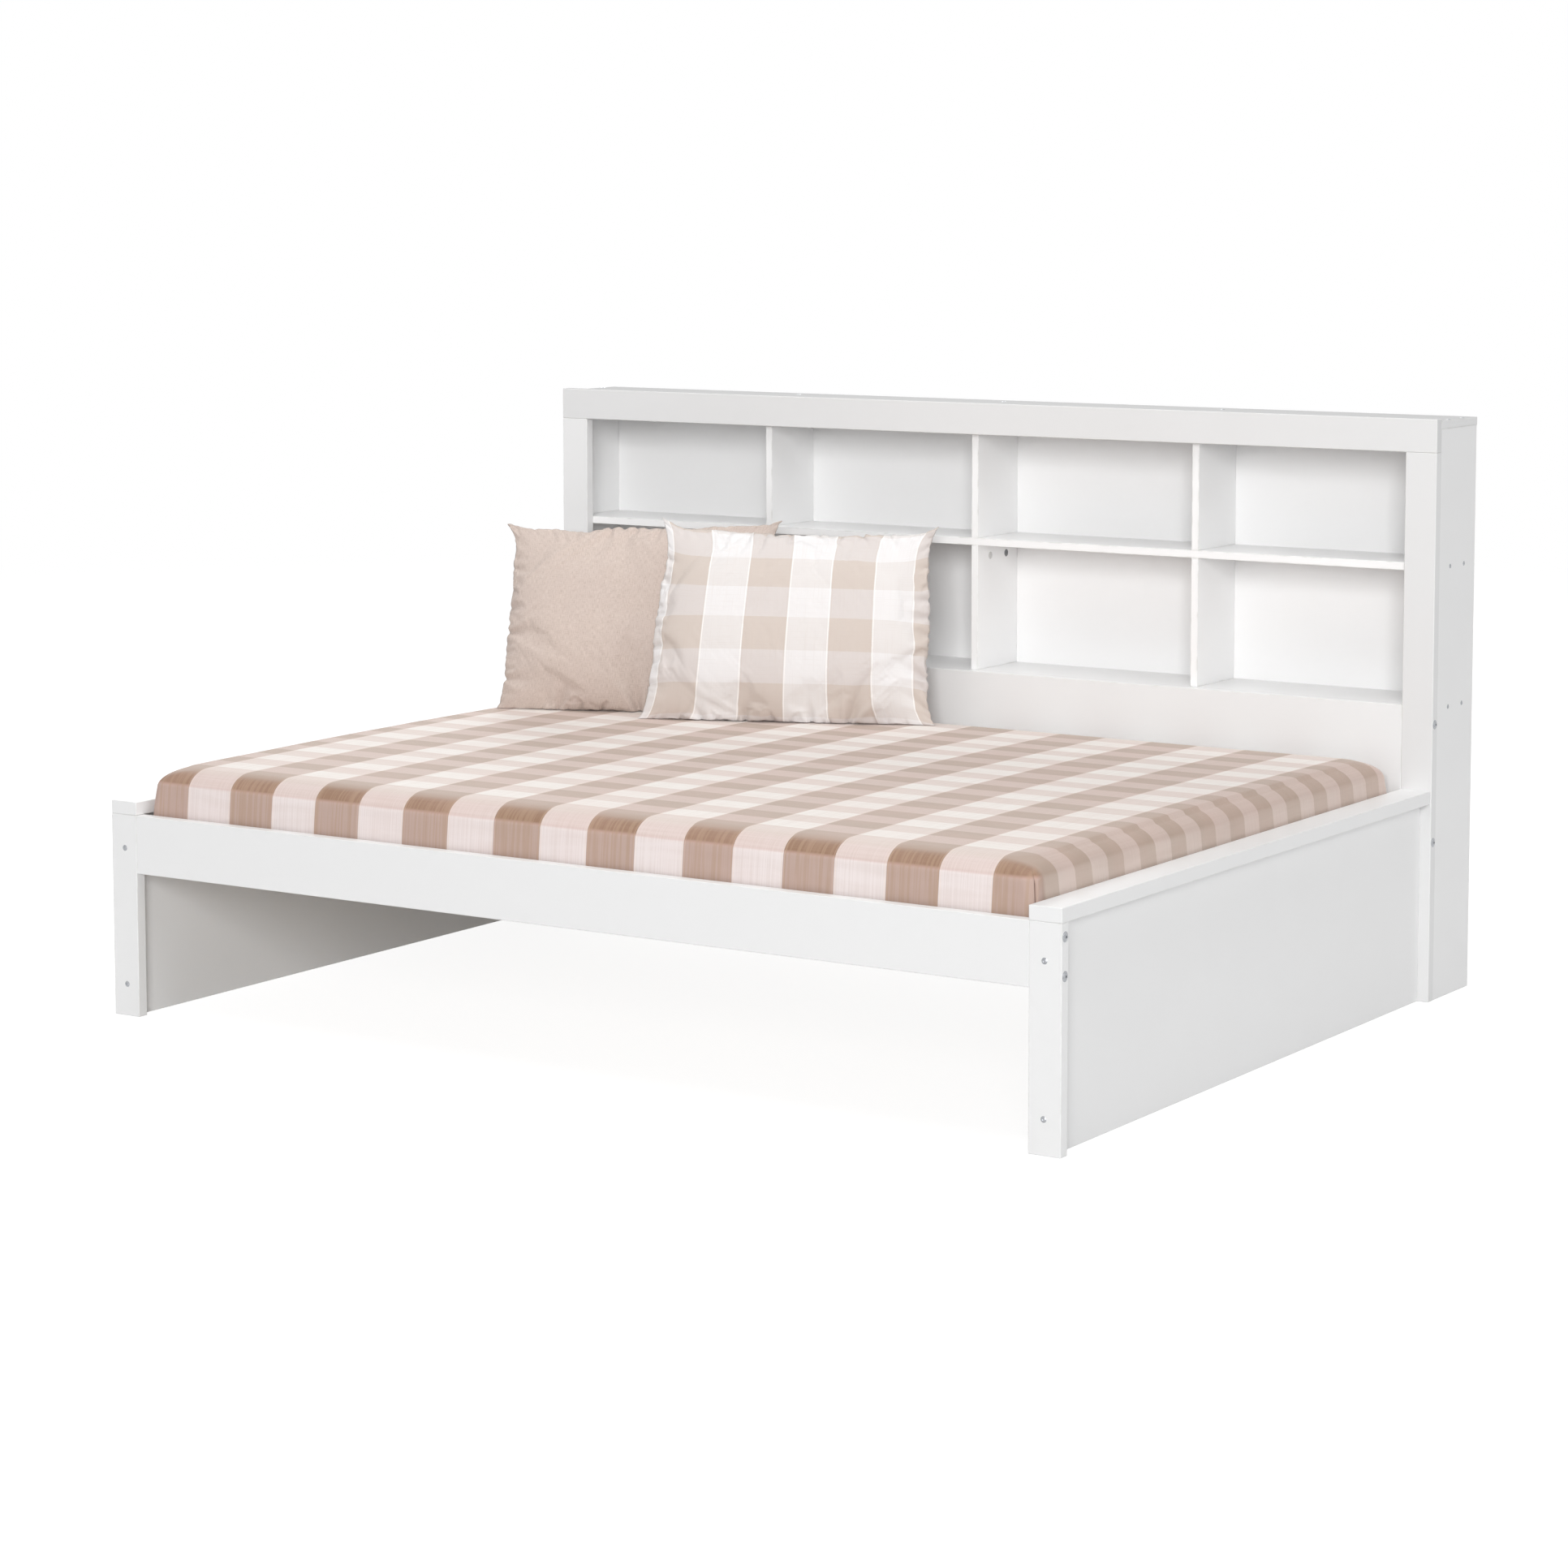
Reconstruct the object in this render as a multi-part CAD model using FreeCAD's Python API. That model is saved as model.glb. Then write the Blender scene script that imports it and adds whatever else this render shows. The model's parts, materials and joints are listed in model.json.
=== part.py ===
import FreeCAD, Part
import math
import os

# Bookcase headboard bed: a low daybed frame of flat painted boards with a two-row open bookcase
# along its back, a slatted base, a mattress in a fitted sheet and two loose pillows.
# Millimetres. +X runs along the bookcase, +Y towards it, +Z up. The origin lies on the floor,
# under the middle of the whole bed.

# ---------------------------------------------------------------- driving dimensions: boards
BED_LENGTH = 2024.0        # outer faces of the two front posts
BED_DEPTH = 1422.0         # front of the posts to front of the bookcase
BOARD = 22.0               # thickness of every solid board
EDGE_ROUND = 1.5           # eased edges of the solid boards
POST_WIDTH = 60.0
POST_HEIGHT = 380.0
RAIL_HEIGHT = 109.0        # front rail, level with the tops of the posts
PANEL_INSET = 20.5         # end panel's outer face in from the post's outer face
CAP_WIDTH = 61.0
CAP_THICKNESS = 25.0

# ---------------------------------------------------------------- driving dimensions: bookcase
CASE_OVERHANG = 2.0        # face frame's outer edge beyond the post's outer face
CASE_DEPTH = 187.0         # front of the face frame to the back
CASE_HEIGHT = 1108.0
TOP_RAIL_HEIGHT = 63.5
STILE_WIDTH = 63.0
BACK_RAIL_TOP = 566.0      # level with the top of the bottom shelf
BACK_RAIL_BOTTOM = 271.0
SHEET_BOARD = 15.0         # thickness of sides, top, shelves and dividers
SHEET_ROUND = 0.8          # eased edges of those boards
SIDE_INSET = 1.0           # side panel in from the stile's outer edge
TOP_DROP = 4.5             # top board below the top of the face frame
SHELF_UNDERSIDE = 819.0    # middle shelf
DIVIDER_PITCH = 498.0
BACK_BOARD = 5.0           # thickness of the back panel

# ---------------------------------------------------------------- driving dimensions: slatted base
SLAT_COUNT = 12
SLAT_WIDTH = 90.0
SLAT_THICKNESS = 18.0
SLAT_END_GAP = 3.0         # slat end to rail
CLEAT_TOP = 291.0
CLEAT_HEIGHT = 20.0
CLEAT_DEPTH = 25.0
BEAM_HEIGHT = 80.0
BEAM_THICKNESS = 35.0
BEAM_END_GAP = 2.0         # beam end to the bracket's back plate
BRACKET_PLATE = 2.5
BRACKET_REACH = 34.0
BRACKET_EAR = 30.0
BRACKET_BELOW_TOP = 10.0   # bracket ends this far under the top of the beam
BRACKET_SCREW_LOW = 20.0   # screws above the beam's underside
BRACKET_SCREW_HIGH = 52.0
CLEAT_END_GAP = 50.0       # cleat end to the post's inner edge
STRAP_WIDTH = 20.0
STRAP_THICKNESS = 1.2
STRAP_FROM_END = 330.0     # webbing strap from each end of the slats

# ---------------------------------------------------------------- driving dimensions: fasteners
RAIL_BOLT_HEAD_HEIGHT = 2.5
RAIL_BOLT_HEAD_RADIUS = 9.0
RAIL_BOLT_RADIUS = 3.0
RAIL_BOLT_LENGTH = 100.0
RAIL_BOLT_SPACING = 64.0   # pair in the end of the front rail
BACK_BOLT_MARGIN = 35.0    # bolts from the upper and lower edge of the back rail
PANEL_SCREW_HEAD_RADIUS = 5.5
PANEL_SCREW_HEAD_HEIGHT = 1.6
PANEL_SCREW_RADIUS = 3.5
PANEL_SCREW_LENGTH = 60.0
PANEL_SCREW_LOW = 60.0     # heights of the screws into the end panels
PANEL_SCREW_HIGH = 317.0
NUT_RADIUS = 5.0
NUT_LENGTH = 14.0
NUT_FROM_END = 34.0        # barrel nut from the end of its rail
SMALL_SCREW_HEAD_RADIUS = 4.5
SMALL_SCREW_HEAD_HEIGHT = 1.2
SMALL_SCREW_RADIUS = 2.0
SMALL_SCREW_LENGTH = 45.0
SMALL_SCREW_SPACING = 64.0
CLEAT_SCREW_LENGTH = 38.0
CLEAT_SCREW_COUNT = 6
CLEAT_SCREW_MARGIN = 100.0
BRACKET_SCREW_LENGTH = 16.0
BACK_PIN_RADIUS = 1.0
BACK_PIN_HEAD_RADIUS = 2.6
BACK_PIN_HEAD_HEIGHT = 0.8
BACK_PIN_LENGTH = 20.0
SOCKET_ACROSS = 4.0        # hexagon socket, across flats
SOCKET_FLOOR = 0.4         # metal left under the socket
CAM_SLOT_DEPTH = 1.4
CAM_SLOT_WIDTH = 1.6
CAM_SLOT_LENGTH = 8.0
DOWEL_RADIUS = 4.0
DOWEL_LENGTH = 30.0
CAP_DOWEL_MARGIN = 210.0   # outer dowels from the ends of the end panel
STILE_DOWEL_MARGIN = 125.0 # outer dowels from the ends of the stile
CAM_RADIUS = 7.5
CAM_DEPTH = 12.0
CAM_BELOW_SHELF = 24.0
CAM_PIN_RADIUS = 3.0
CAM_PIN_IN = 3.0           # pin ends this far above the middle of its cam
HOLE_CLEARANCE = 0.25      # round a bolt's shank
GRIP_CLEARANCE = 0.05      # round a thread, dowel or pin that holds by its fit

# ---------------------------------------------------------------- driving dimensions: soft pieces
MATTRESS_SIDE_GAP = 3.0    # sheet to the cap rails
MATTRESS_FRONT_GAP = 6.5   # sheet to the front rail
MATTRESS_BACK_GAP = 30.0   # sheet to the bookcase
SHEET_TOP = 465.5          # top of the sheet at its edges
SHEET_CLOTH = 1.2
SHEET_TURN_UNDER = 120.0
MATTRESS_CORNER = 46.0     # upright corners, wider than the roll above them
MATTRESS_TOP_ROLL = 40.0
MATTRESS_BOTTOM_ROLL = 22.0
MATTRESS_BOW = 4.0         # sides swell by this much at mid height
MATTRESS_CROWN = 3.0
SOFT_GAP = 0.3             # between soft pieces and what they rest on or in
PILLOW_WIDTH = 588.0       # ear to ear
PILLOW_HEIGHT = 398.0
PILLOW_HALF_THICKNESS = 52.0
PILLOW_DRAWN_IN = 13.0     # middle of each side behind its ears
PILLOW_EAR = 16.0          # roundness of the seam's corners
PILLOW_CROWN_INSET = 135.0 # flat of the crown, in from the seam
PILLOW_CROWN_SWELL = 15.5  # its sides bow out where the seam's are drawn in
PILLOW_CROWN_EAR = 56.0
PILLOW_LEVELS = (0.0, 0.18, 0.42, 0.66, 0.86, 0.97, 1.0)   # outlines, from seam to crown
PILLOW_YAW = 24.7          # degrees, both pillows face the open corner
PILLOW_LEAN = 14.0         # degrees, leaning back
LINEN_PILLOW_X = -611.5    # middle of its lower edge
LINEN_PILLOW_BACK = 300.0  # that point in front of the bookcase
CHECK_PILLOW_X = -271.5
CHECK_PILLOW_BACK = 266.0

# ---------------------------------------------------------------- derived places
V = FreeCAD.Vector
TOTAL_DEPTH = PANEL_SCREW_HEAD_HEIGHT + BED_DEPTH + CASE_DEPTH
FRONT = PANEL_SCREW_HEAD_HEIGHT - TOTAL_DEPTH / 2      # front faces of posts and front rail
CASE_FRONT = FRONT + BED_DEPTH                         # front of the face frame
CASE_BACK = CASE_FRONT + CASE_DEPTH
CARCASS_FRONT = CASE_FRONT + BOARD                     # behind the face frame
BACK_BOARD_FRONT = CASE_BACK - BACK_BOARD
POST_OUT = BED_LENGTH / 2
POST_IN = POST_OUT - POST_WIDTH
PANEL_OUT = POST_OUT - PANEL_INSET
PANEL_IN = PANEL_OUT - BOARD
PANEL_MID = (PANEL_OUT + PANEL_IN) / 2
CAP_IN = POST_OUT - CAP_WIDTH
RAIL_BOTTOM = POST_HEIGHT - RAIL_HEIGHT
STILE_OUT = POST_OUT + CASE_OVERHANG
STILE_IN = STILE_OUT - STILE_WIDTH
STILE_TOP = CASE_HEIGHT - TOP_RAIL_HEIGHT
SIDE_OUT = STILE_OUT - SIDE_INSET
SIDE_IN = SIDE_OUT - SHEET_BOARD
TOP_BOARD_TOP = CASE_HEIGHT - TOP_DROP
TOP_BOARD_UNDERSIDE = TOP_BOARD_TOP - SHEET_BOARD
SHELF_TOP = SHELF_UNDERSIDE + SHEET_BOARD
BOTTOM_SHELF_UNDERSIDE = BACK_RAIL_TOP - SHEET_BOARD
CARCASS_MID = (CARCASS_FRONT + CASE_BACK) / 2
SLAT_FRONT = FRONT + BOARD + SLAT_END_GAP
SLAT_BACK = CASE_FRONT - SLAT_END_GAP
SLAT_TOP = CLEAT_TOP + SLAT_THICKNESS
BASE_MID = (FRONT + BOARD + CASE_FRONT) / 2            # middle of the slatted base
DIVIDERS = {"left": -DIVIDER_PITCH, "centre": 0.0, "right": DIVIDER_PITCH}
SIDES = {"left": -1.0, "right": 1.0}
SHELVES = {"shelf_middle": SHELF_UNDERSIDE, "shelf_bottom": BOTTOM_SHELF_UNDERSIDE}
PAIR = (-SMALL_SCREW_SPACING / 2, SMALL_SCREW_SPACING / 2)

nodes = {}
bores = {}


# ---------------------------------------------------------------- shapes
def board(low, high, edge=EDGE_ROUND):
    """A board between two opposite corners, given in any order of X, with all edges eased."""
    corner = V(min(low[0], high[0]), low[1], low[2])
    solid = Part.makeBox(abs(high[0] - low[0]), high[1] - low[1], high[2] - low[2], corner)
    return solid.makeFillet(edge, solid.Edges)


def bore(names, start, direction, radius, depth):
    """Notes a round hole to be cut from each named board once all the boards are made."""
    for name in names:
        hole = Part.makeCylinder(radius, depth, start, direction)
        bores.setdefault(name, []).append(hole)


def set_down(shape, position, outward):
    """Turns a fastener made along +Z so that its head faces outward, and sets it in place."""
    moved = shape.copy()
    moved.Placement = FreeCAD.Placement(position, FreeCAD.Rotation(V(0, 0, 1), outward))
    return moved


def socket_cutter(head_height):
    """The hexagonal socket of a head that stands on z = 0, down to the metal left under it."""
    reach = SOCKET_ACROSS / math.sqrt(3)
    turns = [math.radians(60 * step) for step in range(7)]
    rim = Part.makePolygon([V(reach * math.cos(a), reach * math.sin(a), SOCKET_FLOOR) for a in turns])
    return Part.Face(rim).extrude(V(0, 0, head_height))


def domed_head(radius, height):
    """A low domed head that stands on z = 0: a slice of a ball."""
    ball = (radius * radius + height * height) / (2 * height)
    dome = Part.makeSphere(ball, V(0, 0, height - ball))
    return dome.common(Part.makeCylinder(radius, height))


def screw(head_radius, head_height, radius, length):
    """A fastener with its head on z = 0 and its shank reaching down by length."""
    shank = Part.makeCylinder(radius, length, V(0, 0, -length))
    whole = domed_head(head_radius, head_height).fuse(shank).removeSplitter()
    return whole.cut(socket_cutter(head_height))


def flush_pin(head_radius, head_height, radius, length):
    """A pin whose flat head is sunk, with its upper face on z = 0."""
    head = Part.makeCylinder(head_radius, head_height, V(0, 0, -head_height))
    shank = Part.makeCylinder(radius, length, V(0, 0, -length))
    return head.fuse(shank).removeSplitter()


def dowel(centre, direction):
    """A round wooden dowel with its middle at centre."""
    start = centre - direction * (DOWEL_LENGTH / 2)
    return Part.makeCylinder(DOWEL_RADIUS, DOWEL_LENGTH, start, direction)


def doweled(names, centre, direction):
    """A dowel and the hole for it through the boards that it joins."""
    start = centre - direction * (DOWEL_LENGTH / 2)
    bore(names, start, direction, DOWEL_RADIUS + GRIP_CLEARANCE, DOWEL_LENGTH)
    return dowel(centre, direction)


# ---------------------------------------------------------------- front of the bed
def make_front():
    """Front rail between two flat posts, each with an end panel and a cap rail behind it."""
    nodes["front_rail"] = board((-POST_IN, FRONT, RAIL_BOTTOM), (POST_IN, FRONT + BOARD, POST_HEIGHT))
    for side, sign in SIDES.items():
        nodes[f"post_{side}"] = board(
            (sign * POST_IN, FRONT, 0), (sign * POST_OUT, FRONT + BOARD, POST_HEIGHT))
        nodes[f"end_panel_{side}"] = board(
            (sign * PANEL_IN, FRONT + BOARD, 0), (sign * PANEL_OUT, CASE_FRONT, POST_HEIGHT))
        nodes[f"cap_rail_{side}"] = board(
            (sign * CAP_IN, FRONT, POST_HEIGHT),
            (sign * POST_OUT, CASE_FRONT, POST_HEIGHT + CAP_THICKNESS))


# ---------------------------------------------------------------- bookcase
def make_face_frame():
    """Top rail over two stiles that reach the floor, with the wide back rail between them."""
    nodes["top_rail"] = board(
        (-STILE_OUT, CASE_FRONT, STILE_TOP), (STILE_OUT, CARCASS_FRONT, CASE_HEIGHT))
    nodes["back_rail"] = board(
        (-STILE_IN, CASE_FRONT, BACK_RAIL_BOTTOM), (STILE_IN, CARCASS_FRONT, BACK_RAIL_TOP))
    for side, sign in SIDES.items():
        nodes[f"stile_{side}"] = board(
            (sign * STILE_IN, CASE_FRONT, 0), (sign * STILE_OUT, CARCASS_FRONT, STILE_TOP))


def make_carcass():
    """Sides, top, two shelves, six dividers and the thin back panel let in between the sides."""
    nodes["top_board"] = board(
        (-STILE_OUT, CARCASS_FRONT, TOP_BOARD_UNDERSIDE),
        (STILE_OUT, CASE_BACK, TOP_BOARD_TOP), SHEET_ROUND)
    for side, sign in SIDES.items():
        nodes[f"side_panel_{side}"] = board(
            (sign * SIDE_IN, CARCASS_FRONT, 0),
            (sign * SIDE_OUT, CASE_BACK, TOP_BOARD_UNDERSIDE), SHEET_ROUND)
    for name, underside in SHELVES.items():
        nodes[name] = board(
            (-SIDE_IN, CARCASS_FRONT, underside),
            (SIDE_IN, BACK_BOARD_FRONT, underside + SHEET_BOARD), SHEET_ROUND)
    rows = {"upper": (SHELF_TOP, TOP_BOARD_UNDERSIDE), "lower": (BACK_RAIL_TOP, SHELF_UNDERSIDE)}
    for row, (low, high) in rows.items():
        for place, x in DIVIDERS.items():
            nodes[f"divider_{row}_{place}"] = board(
                (x - SHEET_BOARD / 2, CARCASS_FRONT, low),
                (x + SHEET_BOARD / 2, BACK_BOARD_FRONT, high), SHEET_ROUND)
    nodes["back_panel"] = board(
        (-SIDE_IN, BACK_BOARD_FRONT, BOTTOM_SHELF_UNDERSIDE),
        (SIDE_IN, CASE_BACK, TOP_BOARD_UNDERSIDE), SHEET_ROUND)


# ---------------------------------------------------------------- slatted base
def make_base():
    """Cleats on both rails, a beam in steel brackets between the end panels, and the slats."""
    front_reach, rear_reach = POST_IN - CLEAT_END_GAP, STILE_IN - CLEAT_END_GAP
    nodes["cleat_front"] = board(
        (-front_reach, FRONT + BOARD, CLEAT_TOP - CLEAT_HEIGHT),
        (front_reach, FRONT + BOARD + CLEAT_DEPTH, CLEAT_TOP))
    nodes["cleat_rear"] = board(
        (-rear_reach, CASE_FRONT - CLEAT_DEPTH, CLEAT_TOP - CLEAT_HEIGHT),
        (rear_reach, CASE_FRONT, CLEAT_TOP))
    beam_end = PANEL_IN - BRACKET_PLATE - BEAM_END_GAP
    nodes["centre_beam"] = board(
        (-beam_end, BASE_MID - BEAM_THICKNESS / 2, CLEAT_TOP - BEAM_HEIGHT),
        (beam_end, BASE_MID + BEAM_THICKNESS / 2, CLEAT_TOP))
    for side, sign in SIDES.items():
        nodes[f"beam_bracket_{side}"] = beam_bracket(sign)
    pitch = (2 * PANEL_IN - SLAT_WIDTH) / SLAT_COUNT
    for index in range(SLAT_COUNT):
        middle = (index - (SLAT_COUNT - 1) / 2) * pitch
        nodes[f"slat_{index + 1:02d}"] = board(
            (middle - SLAT_WIDTH / 2, SLAT_FRONT, CLEAT_TOP),
            (middle + SLAT_WIDTH / 2, SLAT_BACK, SLAT_TOP))
    strap_end = (SLAT_COUNT - 1) / 2 * pitch + SLAT_WIDTH / 2
    straps = []
    for y in (SLAT_FRONT + STRAP_FROM_END, SLAT_BACK - STRAP_FROM_END):
        corner = V(-strap_end, y - STRAP_WIDTH / 2, CLEAT_TOP - STRAP_THICKNESS)
        straps.append(Part.makeBox(2 * strap_end, STRAP_WIDTH, STRAP_THICKNESS, corner))
    nodes["slat_straps"] = Part.makeCompound(straps)


def beam_bracket(sign):
    """A bent steel saddle: back plate with two ears on the end panel, and a trough for the beam."""
    half = BEAM_THICKNESS / 2 + GRIP_CLEARANCE
    low = CLEAT_TOP - BEAM_HEIGHT
    wall = sign * PANEL_IN
    inward = -sign

    def slab(depth_from, depth_to, y_from, y_to, z_from, z_to):
        """A plate between two depths in from the end panel's face."""
        xs = sorted((wall + inward * depth_from, wall + inward * depth_to))
        corner = V(xs[0], BASE_MID + y_from, z_from)
        return Part.makeBox(xs[1] - xs[0], y_to - y_from, z_to - z_from, corner)

    high = CLEAT_TOP - BRACKET_BELOW_TOP
    back = slab(0, BRACKET_PLATE, -half - BRACKET_EAR, half + BRACKET_EAR, low - BRACKET_PLATE, high)
    seat = slab(0, BRACKET_REACH, -half - BRACKET_PLATE, half + BRACKET_PLATE, low - BRACKET_PLATE, low)
    cheeks = [
        slab(0, BRACKET_REACH, y, y + BRACKET_PLATE, low - BRACKET_PLATE, high)
        for y in (-half - BRACKET_PLATE, half)
    ]
    return back.fuse([seat, *cheeks]).removeSplitter()


# ---------------------------------------------------------------- fasteners
def make_panel_screws():
    """Socket-head screws through the posts, and through the stiles from behind, into the end panels."""
    shape = screw(PANEL_SCREW_HEAD_RADIUS, PANEL_SCREW_HEAD_HEIGHT, PANEL_SCREW_RADIUS, PANEL_SCREW_LENGTH)
    made = []
    for side, sign in SIDES.items():
        for z in (PANEL_SCREW_LOW, PANEL_SCREW_HIGH):
            ends = ((FRONT, V(0, -1, 0), "post"), (CARCASS_FRONT, V(0, 1, 0), "stile"))
            for y, outward, holder in ends:
                place = V(sign * PANEL_MID, y, z)
                bore([f"{holder}_{side}", f"end_panel_{side}"], place, outward * -1,
                     PANEL_SCREW_RADIUS + GRIP_CLEARANCE, PANEL_SCREW_LENGTH)
                made.append(set_down(shape, place, outward))
    nodes["panel_screws"] = Part.makeCompound(made)


def make_rail_bolts():
    """Long domed bolts through posts and stiles into barrel nuts in the ends of the two rails."""
    shape = screw(RAIL_BOLT_HEAD_RADIUS, RAIL_BOLT_HEAD_HEIGHT, RAIL_BOLT_RADIUS, RAIL_BOLT_LENGTH)
    rail_mid = (RAIL_BOTTOM + POST_HEIGHT) / 2
    rail_heights = (rail_mid - RAIL_BOLT_SPACING / 2, rail_mid + RAIL_BOLT_SPACING / 2)
    back_heights = (BACK_RAIL_BOTTOM + BACK_BOLT_MARGIN, BACK_RAIL_TOP - BACK_BOLT_MARGIN)
    joints = (
        ("rail_bolts", "post", "front_rail", POST_OUT, POST_IN, FRONT + BOARD / 2, rail_heights),
        ("stile_bolts", "stile", "back_rail", STILE_OUT, STILE_IN, CASE_FRONT + BOARD / 2, back_heights),
    )
    nuts = []
    for name, upright, rail, outer, rail_end, y, heights in joints:
        made = []
        for side, sign in SIDES.items():
            for z in heights:
                place = V(sign * outer, y, z)
                bore([f"{upright}_{side}", rail], place, V(-sign, 0, 0),
                     RAIL_BOLT_RADIUS + HOLE_CLEARANCE, RAIL_BOLT_LENGTH + RAIL_BOLT_HEAD_HEIGHT)
                made.append(set_down(shape, place, V(sign, 0, 0)))
                nuts.append(barrel_nut(rail, V(sign * (rail_end - NUT_FROM_END), y, z)))
        nodes[name] = Part.makeCompound(made)
    nodes["barrel_nuts"] = Part.makeCompound(nuts)


def barrel_nut(rail, centre):
    """A cross-bored steel barrel let into the rail from its hidden face."""
    start = centre - V(0, NUT_LENGTH / 2, 0)
    bore([rail], start, V(0, 1, 0), NUT_RADIUS + GRIP_CLEARANCE, BOARD)
    thread = Part.makeCylinder(
        RAIL_BOLT_RADIUS + GRIP_CLEARANCE, 2 * NUT_RADIUS, centre - V(NUT_RADIUS, 0, 0), V(1, 0, 0))
    return Part.makeCylinder(NUT_RADIUS, NUT_LENGTH, start, V(0, 1, 0)).cut(thread)


def make_carcass_screws():
    """Screws through the sides into both shelves, and through the top into sides and dividers."""
    shape = screw(SMALL_SCREW_HEAD_RADIUS, SMALL_SCREW_HEAD_HEIGHT, SMALL_SCREW_RADIUS, SMALL_SCREW_LENGTH)
    hole = SMALL_SCREW_RADIUS + GRIP_CLEARANCE
    side_made, top_made = [], []
    for side, sign in SIDES.items():
        for shelf, underside in SHELVES.items():
            for offset in PAIR:
                place = V(sign * SIDE_OUT, CARCASS_MID + offset, underside + SHEET_BOARD / 2)
                bore([f"side_panel_{side}", shelf], place, V(-sign, 0, 0), hole, SMALL_SCREW_LENGTH)
                side_made.append(set_down(shape, place, V(sign, 0, 0)))
    uprights = {f"side_panel_{side}": sign * (SIDE_IN + SIDE_OUT) / 2 for side, sign in SIDES.items()}
    uprights.update({f"divider_upper_{place}": x for place, x in DIVIDERS.items()})
    for upright, x in uprights.items():
        for offset in PAIR:
            place = V(x, CARCASS_MID + offset, TOP_BOARD_TOP)
            bore(["top_board", upright], place, V(0, 0, -1), hole, SMALL_SCREW_LENGTH)
            top_made.append(set_down(shape, place, V(0, 0, 1)))
    nodes["side_panel_screws"] = Part.makeCompound(side_made)
    nodes["top_board_screws"] = Part.makeCompound(top_made)


def make_divider_fasteners():
    """Cams under the middle shelf, dowels in the other divider joints, screws up from below."""
    cams, pins, dowels, screws = [], [], [], []
    shape = screw(SMALL_SCREW_HEAD_RADIUS, SMALL_SCREW_HEAD_HEIGHT, SMALL_SCREW_RADIUS, SMALL_SCREW_LENGTH)
    cam_height = SHELF_UNDERSIDE - CAM_BELOW_SHELF
    pin_reach = CAM_BELOW_SHELF - CAM_PIN_IN
    for place, x in DIVIDERS.items():
        for offset in PAIR:
            y = CARCASS_MID + offset
            upper, lower = f"divider_upper_{place}", f"divider_lower_{place}"
            if place == "centre":
                mouth = V(x + SHEET_BOARD / 2, y, cam_height)
                bore([lower], mouth, V(-1, 0, 0), CAM_RADIUS + GRIP_CLEARANCE, CAM_DEPTH)
                pin_end = V(x, y, SHELF_UNDERSIDE - pin_reach)
                length = pin_reach + SHEET_BOARD + DOWEL_LENGTH / 2
                bore([lower, "shelf_middle", upper], pin_end, V(0, 0, 1),
                     CAM_PIN_RADIUS + GRIP_CLEARANCE, length)
                pins.append(Part.makeCylinder(CAM_PIN_RADIUS, length, pin_end))
                cams.append(cam_lock(mouth, x, pin_end))
            else:
                start = V(x, y, SHELF_UNDERSIDE - DOWEL_LENGTH / 2)
                length = SHEET_BOARD + DOWEL_LENGTH
                bore([lower, "shelf_middle", upper], start, V(0, 0, 1),
                     DOWEL_RADIUS + GRIP_CLEARANCE, length)
                dowels.append(Part.makeCylinder(DOWEL_RADIUS, length, start))
            under = V(x, y, BOTTOM_SHELF_UNDERSIDE)
            bore(["shelf_bottom", lower], under, V(0, 0, 1),
                 SMALL_SCREW_RADIUS + GRIP_CLEARANCE, SMALL_SCREW_LENGTH)
            screws.append(set_down(shape, under, V(0, 0, -1)))
    nodes["shelf_cam_locks"] = Part.makeCompound(cams)
    nodes["shelf_cam_pins"] = Part.makeCompound(pins)
    nodes["divider_dowels"] = Part.makeCompound(dowels)
    nodes["divider_screws"] = Part.makeCompound(screws)


def cam_lock(mouth, pin_x, pin_end):
    """A round eccentric cam in its hole, slotted for the pin and with a cross slot for the driver."""
    body = Part.makeCylinder(CAM_RADIUS, CAM_DEPTH - GRIP_CLEARANCE, mouth, V(-1, 0, 0))
    foot = V(pin_x, mouth.y, pin_end.z)
    pin_slot = Part.makeCylinder(CAM_PIN_RADIUS + HOLE_CLEARANCE, CAM_BELOW_SHELF, foot)
    arm, width, depth = CAM_SLOT_LENGTH, CAM_SLOT_WIDTH, CAM_SLOT_DEPTH
    flat = Part.makeBox(depth, arm, width, mouth - V(depth, arm / 2, width / 2))
    upright = Part.makeBox(depth, width, arm, mouth - V(depth, width / 2, arm / 2))
    return body.cut([pin_slot, flat, upright])


def make_frame_dowels():
    """Dowels from the cap rails into posts and panels, and from the face frame into the carcass."""
    caps, frame = [], []
    for side, sign in SIDES.items():
        cap = f"cap_rail_{side}"
        posts_mid = sign * (POST_IN + POST_OUT) / 2
        caps.append(doweled([cap, f"post_{side}"], V(posts_mid, FRONT + BOARD / 2, POST_HEIGHT), V(0, 0, 1)))
        ends = (FRONT + BOARD + CAP_DOWEL_MARGIN, CASE_FRONT - CAP_DOWEL_MARGIN)
        for y in (ends[0], BASE_MID, ends[1]):
            place = V(sign * PANEL_MID, y, POST_HEIGHT)
            caps.append(doweled([cap, f"end_panel_{side}"], place, V(0, 0, 1)))
        for z in (STILE_DOWEL_MARGIN, STILE_TOP / 2, STILE_TOP - STILE_DOWEL_MARGIN):
            place = V(sign * (SIDE_IN + SIDE_OUT) / 2, CARCASS_FRONT, z)
            frame.append(doweled([f"stile_{side}", f"side_panel_{side}"], place, V(0, 1, 0)))
    for x in DIVIDERS.values():
        place = V(x, CARCASS_FRONT, (TOP_BOARD_UNDERSIDE + TOP_BOARD_TOP) / 2)
        frame.append(doweled(["top_rail", "top_board"], place, V(0, 1, 0)))
    nodes["cap_dowels"] = Part.makeCompound(caps)
    nodes["face_frame_dowels"] = Part.makeCompound(frame)


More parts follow.
